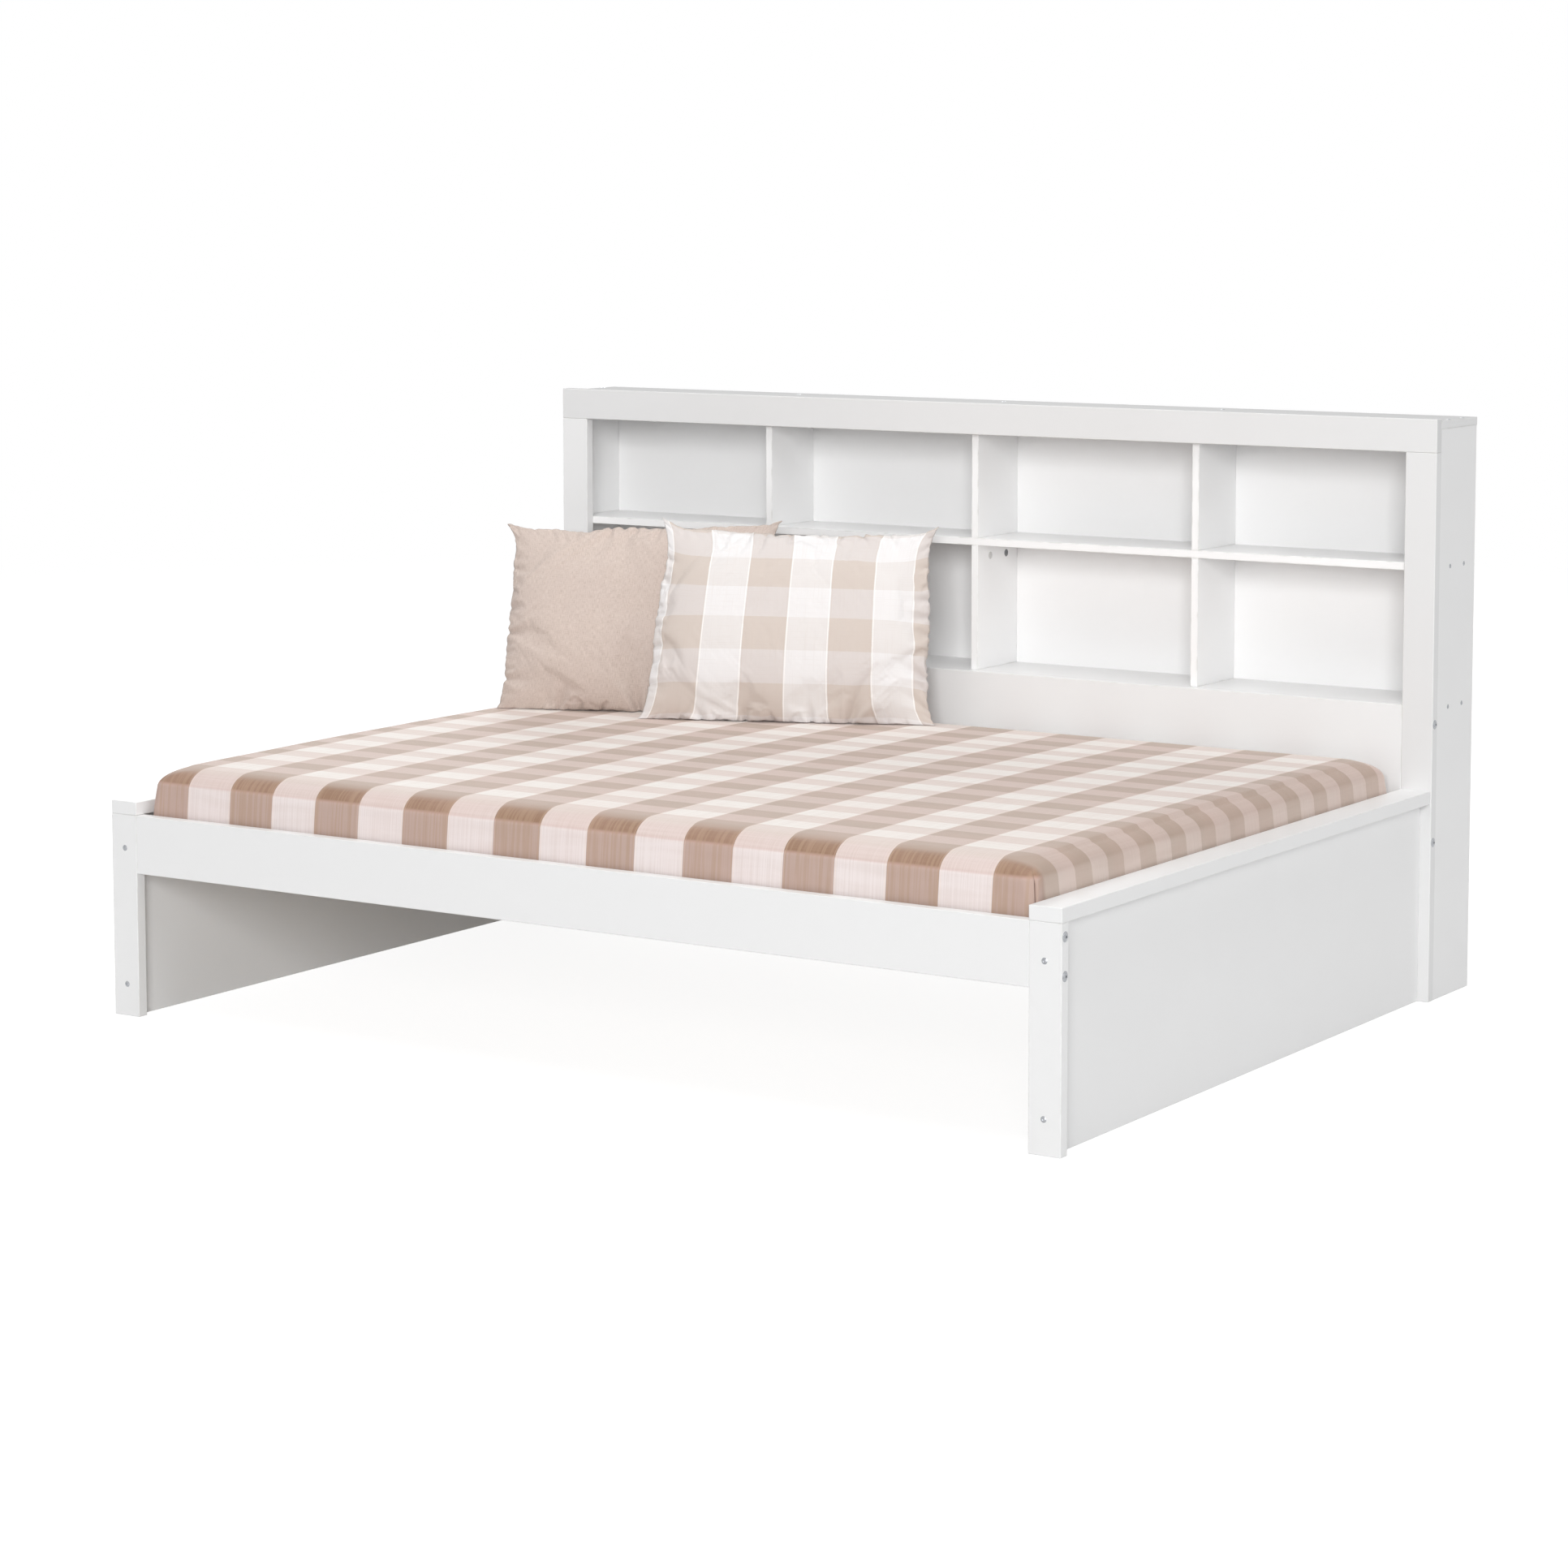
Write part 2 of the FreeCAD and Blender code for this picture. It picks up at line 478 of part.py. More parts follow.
def make_base_screws():
    """Screws that hold the two cleats to their rails and the beam brackets to the end panels."""
    cleat = screw(SMALL_SCREW_HEAD_RADIUS, SMALL_SCREW_HEAD_HEIGHT, SMALL_SCREW_RADIUS, CLEAT_SCREW_LENGTH)
    short = screw(SMALL_SCREW_HEAD_RADIUS, SMALL_SCREW_HEAD_HEIGHT, SMALL_SCREW_RADIUS, BRACKET_SCREW_LENGTH)
    hole = SMALL_SCREW_RADIUS + GRIP_CLEARANCE
    z = CLEAT_TOP - CLEAT_HEIGHT / 2
    ends = (
        (["cleat_front", "front_rail"], POST_IN, FRONT + BOARD + CLEAT_DEPTH, V(0, 1, 0)),
        (["cleat_rear", "back_rail"], STILE_IN, CASE_FRONT - CLEAT_DEPTH, V(0, -1, 0)),
    )
    cleat_made, bracket_made = [], []
    for boards, rail_end, y, outward in ends:
        for index in range(CLEAT_SCREW_COUNT):
            x = (rail_end - CLEAT_SCREW_MARGIN) * (2 * index / (CLEAT_SCREW_COUNT - 1) - 1)
            bore(boards, V(x, y, z), outward * -1, hole, CLEAT_SCREW_LENGTH)
            cleat_made.append(set_down(cleat, V(x, y, z), outward))
    low = CLEAT_TOP - BEAM_HEIGHT
    ear_mid = BEAM_THICKNESS / 2 + BRACKET_PLATE + BRACKET_EAR / 2
    for side, sign in SIDES.items():
        for offset in (-ear_mid, ear_mid):
            for z in (low + BRACKET_SCREW_LOW, low + BRACKET_SCREW_HIGH):
                place = V(sign * (PANEL_IN - BRACKET_PLATE), BASE_MID + offset, z)
                bore([f"beam_bracket_{side}", f"end_panel_{side}"], place, V(sign, 0, 0),
                     hole, BRACKET_SCREW_LENGTH)
                bracket_made.append(set_down(short, place, V(-sign, 0, 0)))
    nodes["cleat_screws"] = Part.makeCompound(cleat_made)
    nodes["bracket_screws"] = Part.makeCompound(bracket_made)


def make_back_pins():
    """Flat-headed pins, flush with the back panel, into both shelves and the dividers."""
    shape = flush_pin(BACK_PIN_HEAD_RADIUS, BACK_PIN_HEAD_HEIGHT, BACK_PIN_RADIUS, BACK_PIN_LENGTH)
    upper_mid = (SHELF_TOP + TOP_BOARD_UNDERSIDE) / 2
    lower_mid = (BACK_RAIL_TOP + SHELF_UNDERSIDE) / 2
    places = []
    for step in (-1.5, -0.5, 0.5, 1.5):
        for shelf, underside in SHELVES.items():
            places.append((shelf, step * DIVIDER_PITCH, underside + SHEET_BOARD / 2))
    for place, x in DIVIDERS.items():
        places.append((f"divider_upper_{place}", x, upper_mid))
        places.append((f"divider_lower_{place}", x, lower_mid))
    made = []
    for holder, x, z in places:
        at = V(x, CASE_BACK, z)
        bore(["back_panel", holder], at, V(0, -1, 0), BACK_PIN_RADIUS + GRIP_CLEARANCE, BACK_PIN_LENGTH)
        bore(["back_panel"], at, V(0, -1, 0), BACK_PIN_HEAD_RADIUS + GRIP_CLEARANCE,
             BACK_PIN_HEAD_HEIGHT)
        made.append(set_down(shape, at, V(0, 1, 0)))
    nodes["back_panel_pins"] = Part.makeCompound(made)


# ---------------------------------------------------------------- mattress and sheet
SHEET_HALF_X = CAP_IN - MATTRESS_SIDE_GAP
SHEET_FRONT = FRONT + BOARD + MATTRESS_FRONT_GAP
SHEET_BACK = CASE_FRONT - MATTRESS_BACK_GAP
SHEET_UNDERSIDE = SLAT_TOP + SOFT_GAP


def bowed_profile(half, low, high, bow, crown):
    """Upright section through the block: flat foot, sides that swell, and a crowned or flat top."""
    mid = (low + high) / 2
    corners = [(-half, low), (half, low), (half, high), (-half, high)]
    bulges = [None, (half + bow, mid), (0, high + crown) if crown else None, (-half - bow, mid)]
    return corners, bulges


def prism(corners, bulges, to_point, along):
    """Carries a section of straight and bowed sides along a vector."""
    edges = []
    for index, bulge in enumerate(bulges):
        start, end = to_point(corners[index]), to_point(corners[(index + 1) % len(corners)])
        if bulge:
            edges.append(Part.Arc(start, to_point(bulge), end).toShape())
        else:
            edges.append(Part.makeLine(start, end))
    return Part.Face(Part.Wire(edges)).extrude(along)


def soft_block(inward):
    """The mattress block with every face moved inward by the given amount."""
    half_x = SHEET_HALF_X - MATTRESS_BOW - inward
    front, back = SHEET_FRONT + MATTRESS_BOW + inward, SHEET_BACK - MATTRESS_BOW - inward
    low, high = SHEET_UNDERSIDE + inward, SHEET_TOP - inward
    mid_y, half_y = (front + back) / 2, (back - front) / 2
    over = 2 * MATTRESS_BOW
    crowned = prism(*bowed_profile(half_y, low, high, MATTRESS_BOW, MATTRESS_CROWN),
                    lambda p: V(-half_x - over, mid_y + p[0], p[1]), V(2 * (half_x + over), 0, 0))
    flat = prism(*bowed_profile(half_x, low, high + over, MATTRESS_BOW, 0),
                 lambda p: V(p[0], front - over, p[1]), V(0, back - front + 2 * over, 0))
    block = crowned.common(flat)
    block = block.makeFillet(MATTRESS_CORNER - inward, upright_edges(block, low, high))
    block = block.makeFillet(MATTRESS_TOP_ROLL - inward, rim_edges(block, high, high + MATTRESS_CROWN))
    return block.makeFillet(MATTRESS_BOTTOM_ROLL - inward, rim_edges(block, low, low))


def upright_edges(shape, low, high):
    """Edges that climb from the foot to the top."""
    most_of_height = 0.8 * (high - low)
    return [e for e in shape.Edges if e.BoundBox.ZLength > most_of_height]


def rim_edges(shape, low, high):
    """Edges that stay within a band of heights."""
    slack = 0.01
    return [e for e in shape.Edges if e.BoundBox.ZMin > low - slack and e.BoundBox.ZMax < high + slack]


def sheet_height(y):
    """Height of the sheet's crowned top over a line across the bed, by the circle of its crown."""
    half = (SHEET_BACK - SHEET_FRONT) / 2 - MATTRESS_BOW
    radius = (half * half + MATTRESS_CROWN * MATTRESS_CROWN) / (2 * MATTRESS_CROWN)
    off = y - (SHEET_FRONT + SHEET_BACK) / 2
    return SHEET_TOP + MATTRESS_CROWN - radius + math.sqrt(radius * radius - off * off)


def make_mattress():
    """The mattress and the fitted sheet pulled over it and turned in underneath."""
    lining = SHEET_CLOTH + SOFT_GAP
    nodes["mattress"] = soft_block(lining)
    skin = soft_block(0.0).cut(soft_block(SHEET_CLOTH))
    open_x = SHEET_HALF_X - SHEET_TURN_UNDER
    open_front, open_back = SHEET_FRONT + SHEET_TURN_UNDER, SHEET_BACK - SHEET_TURN_UNDER
    opening = Part.makeBox(2 * open_x, open_back - open_front, 2 * lining,
                           V(-open_x, open_front, SHEET_UNDERSIDE - lining / 2))
    nodes["fitted_sheet"] = skin.cut(opening)


# ---------------------------------------------------------------- pillows
def pillow_outline(inset, drawn, ear, level):
    """Closed outline of a pillow at one level: four bowed sides between four short corner arcs."""
    half_w, half_h = PILLOW_WIDTH / 2 - inset, PILLOW_HEIGHT / 2 - inset
    corners = [(1, -1), (1, 1), (-1, 1), (-1, -1)]
    sides = [(half_w - drawn, 0), (0, half_h - drawn), (drawn - half_w, 0), (0, drawn - half_h)]
    tip = ear * (1 - math.sqrt(0.5))
    edges, starts, ends, tips = [], [], [], []
    for index, (sx, sz) in enumerate(corners):
        on_width = V(sx * (half_w - ear), level, sz * half_h)
        on_height = V(sx * half_w, level, sz * (half_h - ear))
        starts.append(on_width if index % 2 == 0 else on_height)
        ends.append(on_height if index % 2 == 0 else on_width)
        tips.append(V(sx * (half_w - tip), level, sz * (half_h - tip)))
    for index in range(4):
        edges.append(Part.Arc(starts[index], tips[index], ends[index]).toShape())
        middle = V(sides[index][0], level, sides[index][1])
        edges.append(Part.Arc(ends[index], middle, starts[(index + 1) % 4]).toShape())
    return Part.Wire(edges)


def pillow():
    """A knife-edge pillow, upright about the origin: each half climbs from the seam to its crown."""
    halves = []
    for facing in (-1, 1):
        sections = []
        for step in PILLOW_LEVELS:
            inward = 1 - math.sqrt(1 - step * step)
            drawn = PILLOW_DRAWN_IN - (PILLOW_DRAWN_IN + PILLOW_CROWN_SWELL) * step
            ear = PILLOW_EAR + (PILLOW_CROWN_EAR - PILLOW_EAR) * inward
            level = facing * PILLOW_HALF_THICKNESS * step
            sections.append(pillow_outline(PILLOW_CROWN_INSET * inward, drawn, ear, level))
        halves.append(Part.makeLoft(sections, True))
    return halves[0].fuse(halves[1]).removeSplitter()


def make_pillows():
    """Two pillows that stand on the sheet and lean back, one before the other."""
    shape = pillow()
    shape.translate(V(0, 0, PILLOW_HEIGHT / 2))
    shape.rotate(V(0, 0, 0), V(1, 0, 0), -PILLOW_LEAN)
    shape.rotate(V(0, 0, 0), V(0, 0, 1), PILLOW_YAW)
    lowest = shape.optimalBoundingBox(False).ZMin
    ear_y = (PILLOW_WIDTH / 2 - PILLOW_EAR) * math.sin(math.radians(PILLOW_YAW))
    for name, x, back in (("pillow_linen", LINEN_PILLOW_X, LINEN_PILLOW_BACK),
                          ("pillow_check", CHECK_PILLOW_X, CHECK_PILLOW_BACK)):
        y = CASE_FRONT - back
        rest = max(sheet_height(y - ear_y), sheet_height(y + ear_y)) + SOFT_GAP
        placed = shape.copy()
        placed.translate(V(x, y, rest - lowest))
        nodes[name] = placed


# ---------------------------------------------------------------- build
def main():
    """Makes every piece, drills the boards and writes one file for each node."""
    os.makedirs("parts", exist_ok=True)
    make_front()
    make_face_frame()
    make_carcass()
    make_base()
    make_panel_screws()
    make_rail_bolts()
    make_carcass_screws()
    make_divider_fasteners()
    make_frame_dowels()
    make_base_screws()
    make_back_pins()
    make_mattress()
    make_pillows()
    for name, holes in bores.items():
        nodes[name] = nodes[name].cut(holes)
    for name, shape in nodes.items():
        shape.exportStep(os.path.join("parts", f"{name}.step"))
        print(f"{name}: {len(shape.Solids)} solid(s), {shape.Volume / 1e3:.1f} cm3, valid {shape.isValid()}")
    print(len(nodes), "nodes")


main()
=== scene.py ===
"""Looks of the bookcase headboard bed: its paint, wood, steel, sheet, mattress and pillows.

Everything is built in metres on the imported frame: +X along the bookcase, +Y towards it, +Z up.
"""

import json
import logging
import math
from abc import ABC, abstractmethod
from dataclasses import dataclass, replace
from enum import Enum

import bpy
import numpy as np
from mathutils import Matrix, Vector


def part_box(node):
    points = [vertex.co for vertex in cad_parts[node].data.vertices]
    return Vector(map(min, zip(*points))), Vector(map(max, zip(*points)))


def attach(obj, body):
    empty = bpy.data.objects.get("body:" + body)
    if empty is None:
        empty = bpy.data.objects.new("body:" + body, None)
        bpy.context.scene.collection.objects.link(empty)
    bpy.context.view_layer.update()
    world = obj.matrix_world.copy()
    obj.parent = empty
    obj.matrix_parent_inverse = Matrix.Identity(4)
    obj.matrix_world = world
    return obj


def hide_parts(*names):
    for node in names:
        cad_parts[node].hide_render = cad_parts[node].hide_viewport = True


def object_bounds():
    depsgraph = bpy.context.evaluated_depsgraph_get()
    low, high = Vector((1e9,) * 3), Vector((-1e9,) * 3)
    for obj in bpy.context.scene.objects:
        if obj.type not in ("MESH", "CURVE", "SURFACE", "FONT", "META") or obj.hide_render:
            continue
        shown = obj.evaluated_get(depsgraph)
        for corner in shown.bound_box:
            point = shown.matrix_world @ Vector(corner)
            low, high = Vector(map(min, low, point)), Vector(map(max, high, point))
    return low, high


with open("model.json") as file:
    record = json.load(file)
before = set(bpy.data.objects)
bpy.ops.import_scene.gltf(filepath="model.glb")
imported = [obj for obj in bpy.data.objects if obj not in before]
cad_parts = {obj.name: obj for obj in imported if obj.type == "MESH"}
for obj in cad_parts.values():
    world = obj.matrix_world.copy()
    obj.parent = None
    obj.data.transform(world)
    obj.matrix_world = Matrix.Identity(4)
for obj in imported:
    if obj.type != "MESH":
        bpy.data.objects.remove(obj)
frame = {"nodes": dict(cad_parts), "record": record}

CAD_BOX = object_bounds()
MM = 0.001
CLOTH_MAP = "cloth"
# Attribute that holds the painted shade of the sheet's corner slits.
SLIT_SHADE_MARK = "seam"
log = logging.getLogger("bed")

Colour = tuple[float, float, float]
Triple = tuple[float, float, float]
Array = np.ndarray
Socket = bpy.types.NodeSocket
Material = bpy.types.Material
Piece = bpy.types.Object
Range = tuple[float, ...]
WHITE: Colour = (1.0, 1.0, 1.0)
# Inputs of a Mix node that is set to colours: its factor, its first colour and its second.
MIX_INPUTS = (0, 6, 7)
# The part of a noise's values where most of them lie.
MOST: Range = (0.3, 0.7)
# Of a waviness: how much faster and weaker each sine is, the chance in its pace, and the sum's reach.
RIPPLE_PACE, RIPPLE_FALL, RIPPLE_CHANCE, RIPPLE_SUM = 0.83, 0.45, 0.3, 2.2
TINY = 1e-9


def srgb(red: int, green: int, blue: int) -> Colour:
    """Linear colour of a screen colour from 11 to 255, by the upper branch of the sRGB curve."""
    parts = np.array((red, green, blue)) / 255
    return tuple(float(part) for part in ((parts + 0.055) / 1.055) ** 2.4)


class Axis(Enum):
    """Direction of grain or thread in the object's frame."""

    X = 0
    Y = 1
    Z = 2


# ---------------------------------------------------------------- node graphs
class Graph:
    """Node tree of a material or a world, built from left to right by short calls."""

    def __init__(self, name: str, is_world: bool = False) -> None:
        """Makes the material or world.

        Args:
            name: Its name.
            is_world: Whether it is a world.
        """
        self.owner = (bpy.data.worlds if is_world else bpy.data.materials).new(name)
        self.owner.use_nodes = True
        self.tree = self.owner.node_tree
        self.shader = self.tree.nodes["Background" if is_world else "Principled BSDF"]

    def add(self, kind: str, *inputs: object, **settings: object) -> bpy.types.Node:
        """Adds a node.

        Args:
            kind: The node's type, without the ShaderNode in front.
            inputs: A socket or a constant for each input in order, or None to leave it.
            settings: Properties of the node.

        Returns:
            The new node.
        """
        node = self.tree.nodes.new("ShaderNode" + kind)
        for name, value in settings.items():
            setattr(node, name, value)
        for socket, value in zip(node.inputs, inputs):
            self.feed(socket, value)
        return node

    def feed(self, socket: Socket, value: object) -> None:
        """Links a socket or sets its constant.

        Args:
            socket: The input.
            value: Another node's output, a number, a colour or None.
        """
        if isinstance(value, Socket):
            self.tree.links.new(value, socket)
        elif value is not None:
            is_colour = socket.type == "RGBA" and len(value) == 3
            socket.default_value = (*value, 1.0) if is_colour else value

    def math(self, operation: str, *inputs: object) -> Socket:
        """Output of a Math node with the given operation and inputs."""
        return self.add("Math", *inputs, operation=operation).outputs[0]

    def times(self, first: object, second: object) -> Socket:
        """Product of two values."""
        return self.math("MULTIPLY", first, second)

    def vector(self, operation: str, *inputs: object) -> Socket:
        """Output of a Vector Math node with the given operation and inputs."""
        return self.add("VectorMath", *inputs, operation=operation).outputs[0]

    def place(self) -> Socket:
        """Object coordinates, which are metres in the bed's frame."""
        return self.add("TexCoord").outputs["Object"]

    def cloth(self) -> Socket:
        """The piece's own map of its cloth, in metres."""
        return self.add("UVMap", uv_map=CLOTH_MAP).outputs[0]

    def apart(self, first: object, second: object) -> Socket:
        """Distance between two values, without its sign."""
        return self.math("ABSOLUTE", self.math("SUBTRACT", first, second))

    def seen(self) -> Socket:
        """1 where the camera or a reflection looks, 0 for the light on the object."""
        rays = self.add("LightPath").outputs
        return self.math("MAXIMUM", rays["Is Camera Ray"], rays["Is Glossy Ray"])

    def split(self, vector: Socket) -> list[Socket]:
        """The three parts of a vector."""
        return list(self.add("SeparateXYZ", vector).outputs)

    def noise(self, vector: Socket, per_metre: float | Triple, detail: float = 2.0) -> Socket:
        """Soft noise with its own fineness along each axis.

        Args:
            vector: Coordinates in metres.
            per_metre: Features in a metre, the same or along X, Y and Z.
            detail: Octaves of finer noise on top.

        Returns:
            A value about 0.5, from 0 to 1.
        """
        even = isinstance(per_metre, float)
        scaled = self.vector("MULTIPLY", vector, (per_metre,) * 3 if even else per_metre)
        return self.add("TexNoise", scaled, None, 1.0, detail).outputs[0]

    def ramp(self, value: object, low: float, high: float, start: float = 0.0, end: float = 1.0) -> Socket:
        """Smooth step of a value from start to end as it goes from low to high."""
        node = self.add("MapRange", value, low, high, start, end, interpolation_type="SMOOTHSTEP")
        return node.outputs[0]

    def mix(self, share: object, first: object, second: object) -> Socket:
        """Mix of two colours.

        Args:
            share: Share of the second, from 0 to 1.
            first: A colour.
            second: Another colour.

        Returns:
            The mixed colour.
        """
        node = self.add("Mix", data_type="RGBA", blend_type="MIX")
        for index, value in zip(MIX_INPUTS, (share, first, second)):
            self.feed(node.inputs[index], value)
        return node.outputs[2]

    def bumps(self, *layers: tuple[object, float]) -> Socket:
        """Normal of a surface with bumps laid over each other.

        Args:
            layers: Each one's height from 0 to 1 and its depth in metres, the lowest first.

        Returns:
            The normal.
        """
        normal = None
        for height, depth in layers:
            normal = self.add("Bump", 1.0, depth, None, height, normal).outputs[0]
        return normal

    def finish(self, colour: object, roughness: object, normal: object = None,
               **constants: object) -> Material:
        """Feeds the shader.

        Args:
            colour: Base colour.
            roughness: Roughness.
            normal: Bumped normal.
            constants: More of the shader's sockets, with underscores for spaces, as constants.

        Returns:
            The finished material.
        """
        self.feed(self.shader.inputs["Base Color"], colour)
        self.feed(self.shader.inputs["Roughness"], roughness)
        self.feed(self.shader.inputs["Normal"], normal)
        for name, value in constants.items():
            self.feed(self.shader.inputs[name.replace("_", " ")], value)
        return self.owner


class Finish(ABC):
    """A surface finish that can be made into a material."""

    @abstractmethod
    def material(self) -> Material:
        """Builds the node material."""


@dataclass(frozen=True)
class Tint:
    """A colour laid over another, whose share goes from start to end as a value goes low to high."""

    colour: Colour
    low: float
    high: float
    start: float = 0.0
    end: float = 1.0

    def over(self, graph: Graph, value: object, under: object) -> Socket:
        """The colour under it with this one laid over it, by the value."""
        return graph.mix(graph.ramp(value, self.low, self.high, self.start, self.end), under, self.colour)


# ---------------------------------------------------------------- finishes of hard pieces
@dataclass(frozen=True)
class BoardPaint(Finish):
    """White satin paint on one board, a little rubbed and rougher along its edges."""

    node: str
    grain: Axis
    white: float = 0.80
    rubbed: Colour = (0.72, 0.715, 0.70)
    edge: float = 3.5 * MM
    roughness: float = 0.36
    gloss: float = 0.45
    coat: float = 0.12
    # Painted shade: white of the level faces, which 0 leaves as the rest of the board.
    level_shade_white: float = 0.0
    cloud: Tint = Tint((0.80, 0.805, 0.815), *MOST, 0.0, 0.12)
    level_shade_skin: float = 0.4 * MM
    drawn_out: float = 0.25
    rubbing: Range = (0.42, 0.72, 0.12, 0.9)
    smoother: float = 0.04
    rougher: float = 0.07
    worn_rougher: float = 0.16

    def material(self) -> Material:
        """Paint whose edge wear follows the second smallest distance to the board's own faces.

        Returns:
            The finished material.
        """
        graph = Graph(f"paint_{self.node}")
        place = graph.place()
        low, high = (np.array(corner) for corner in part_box(self.node))
        middle, half = (low + high) / 2, (high - low) / 2
        off = graph.vector("ABSOLUTE", graph.vector("SUBTRACT", place, tuple(middle)))
        x, y, z = graph.split(graph.vector("SUBTRACT", tuple(half), off))
        nearer = graph.math("MINIMUM", x, y)
        farther = graph.math("MINIMUM", graph.math("MAXIMUM", x, y), z)
        edge = graph.ramp(graph.math("MAXIMUM", nearer, farther), 0.0, self.edge, 1.0, 0.0)
        along = [self.drawn_out if axis is self.grain else 1.0 for axis in Axis]
        rub = graph.noise(place, 38.0, 4.0)
        wear = graph.times(edge, graph.ramp(rub, *self.rubbing))
        tone = self.cloud.over(graph, graph.noise(place, 3.0, 3.0), (self.white,) * 3)
        # Painted shade: the level top and bottom faces take the level shade white in a thin skin.
        if self.level_shade_white:
            tone = Tint((self.level_shade_white,) * 3, 0.0, self.level_shade_skin, 1.0, 0.0).over(graph, z, tone)
        colour = graph.mix(wear, tone, self.rubbed)
        peel = graph.noise(place, 520.0, 1.0)
        flow = graph.noise(place, tuple(70.0 * share for share in along))
        grain = graph.noise(place, tuple(240.0 * share * share for share in along), 3.0)
        normal = graph.bumps((flow, 0.10 * MM), (grain, 0.035 * MM), (peel, 0.02 * MM))
        sheen = graph.ramp(graph.noise(place, 9.0, 3.0), *MOST,
                           self.roughness - self.smoother, self.roughness + self.rougher)
        rough = graph.math("ADD", sheen, graph.times(wear, self.worn_rougher))
        return graph.finish(colour, rough, normal, Specular_IOR_Level=self.gloss,
                            Coat_Weight=self.coat, Coat_Roughness=0.3)


@dataclass(frozen=True)
class Softwood(Finish):
    """Planed pale softwood with growth rings, pores and a few knots, unpainted."""

    name: str
    grain: Axis
    pale: Colour = (0.70, 0.52, 0.32)
    dark: Colour = (0.50, 0.32, 0.155)
    ring: float = 9 * MM
    knots: Tint = Tint((0.20, 0.095, 0.035), 0.05, 0.13, 1.0, 0.0)
    sapwood: Tint = Tint((0.80, 0.64, 0.44), *MOST, 0.0, 0.3)
    ring_slope: float = 0.03
    ring_tilt: float = 0.6
    ring_bend: float = 0.06
    late_power: float = 2.6
    late_share: float = 0.55
    fibre_share: Range = (0.35, 0.75, 0.0, 0.35)

    def stretch(self, along: float, across: float) -> Triple:
        """One number along the grain and another across it."""
        return tuple(along if axis is self.grain else across for axis in Axis)

    def material(self) -> Material:
        """Rings are a saw of the distance across the grain, bent by slow noise along it.

        Returns:
            The finished material.
        """
        graph = Graph(self.name)
        place = graph.place()
        bend = graph.noise(place, self.stretch(1.2, 9.0))
        cross = tuple(self.ring_slope if axis is self.grain else
                      (1.0 if axis is Axis.Z else self.ring_tilt) for axis in Axis)
        node = graph.add("VectorMath", place, cross, operation="DOT_PRODUCT")
        across = graph.math("ADD", node.outputs["Value"], graph.times(bend, self.ring_bend))
        phase = graph.math("FRACT", graph.math("DIVIDE", across, self.ring))
        late = graph.math("POWER", phase, self.late_power)
        fibre = graph.noise(place, self.stretch(6.0, 900.0))
        share = graph.times(late, self.late_share)
        share = graph.math("ADD", share, graph.ramp(fibre, *self.fibre_share))
        colour = graph.mix(share, self.pale, self.dark)
        cell = graph.vector("MULTIPLY", place, self.stretch(2.6, 11.0))
        spot = graph.add("TexVoronoi", cell, None, 1.0, feature="F1").outputs[0]
        colour = self.knots.over(graph, spot, colour)
        colour = self.sapwood.over(graph, graph.noise(place, 2.5), colour)
        normal = graph.bumps((fibre, 0.05 * MM), (late, 0.06 * MM))
        rough = graph.ramp(fibre, *MOST, 0.5, 0.64)
        return graph.finish(colour, rough, normal, Specular_IOR_Level=0.35)


@dataclass(frozen=True)
class PlatedSteel(Finish):
    """Zinc-plated steel with fine tool marks and faint clouds in the plating."""

    name: str
    metal: Colour = (0.44, 0.45, 0.47)
    dull: Colour = (0.27, 0.28, 0.30)
    roughness: float = 0.30
    smoother: float = 0.06
    rougher: float = 0.12

    def material(self) -> Material:
        """Clouded plating whose roughness and bump follow fine scratches.

        Returns:
            The finished material.
        """
        graph = Graph(self.name)
        place = graph.place()
        cloud = graph.noise(place, 260.0, 3.0)
        marks = graph.noise(place, (300.0, 2600.0, 2600.0))
        colour = graph.mix(graph.ramp(cloud, 0.35, 0.7, 0.0, 0.6), self.metal, self.dull)
        rough = graph.ramp(marks, *MOST, self.roughness - self.smoother, self.roughness + self.rougher)
        return graph.finish(colour, rough, graph.bumps((marks, 0.01 * MM)), Metallic=1.0)


@dataclass(frozen=True)
class CamMetal(Finish):
    """Die-cast zinc cams: the front one under a pale cap, the rear one bare and dark."""

    name: str
    between: float
    cap: Colour = (0.66, 0.66, 0.65)
    bare: Colour = (0.20, 0.205, 0.215)
    worn: Tint = Tint((0.33, 0.335, 0.345), *MOST, 0.0, 0.5)

    def material(self) -> Material:
        """A step in Y at the gap between the two cams picks cap or bare metal.

        Returns:
            The finished material.
        """
        graph = Graph(self.name)
        place = graph.place()
        rear = graph.ramp(graph.split(place)[1], self.between - 1 * MM, self.between + 1 * MM)
        grit = graph.noise(place, 900.0, 3.0)
        colour = graph.mix(rear, self.cap, self.worn.over(graph, grit, self.bare))
        rough = graph.ramp(grit, *MOST, 0.38, 0.55)
        return graph.finish(colour, rough, graph.bumps((grit, 0.03 * MM)), Metallic=0.35)


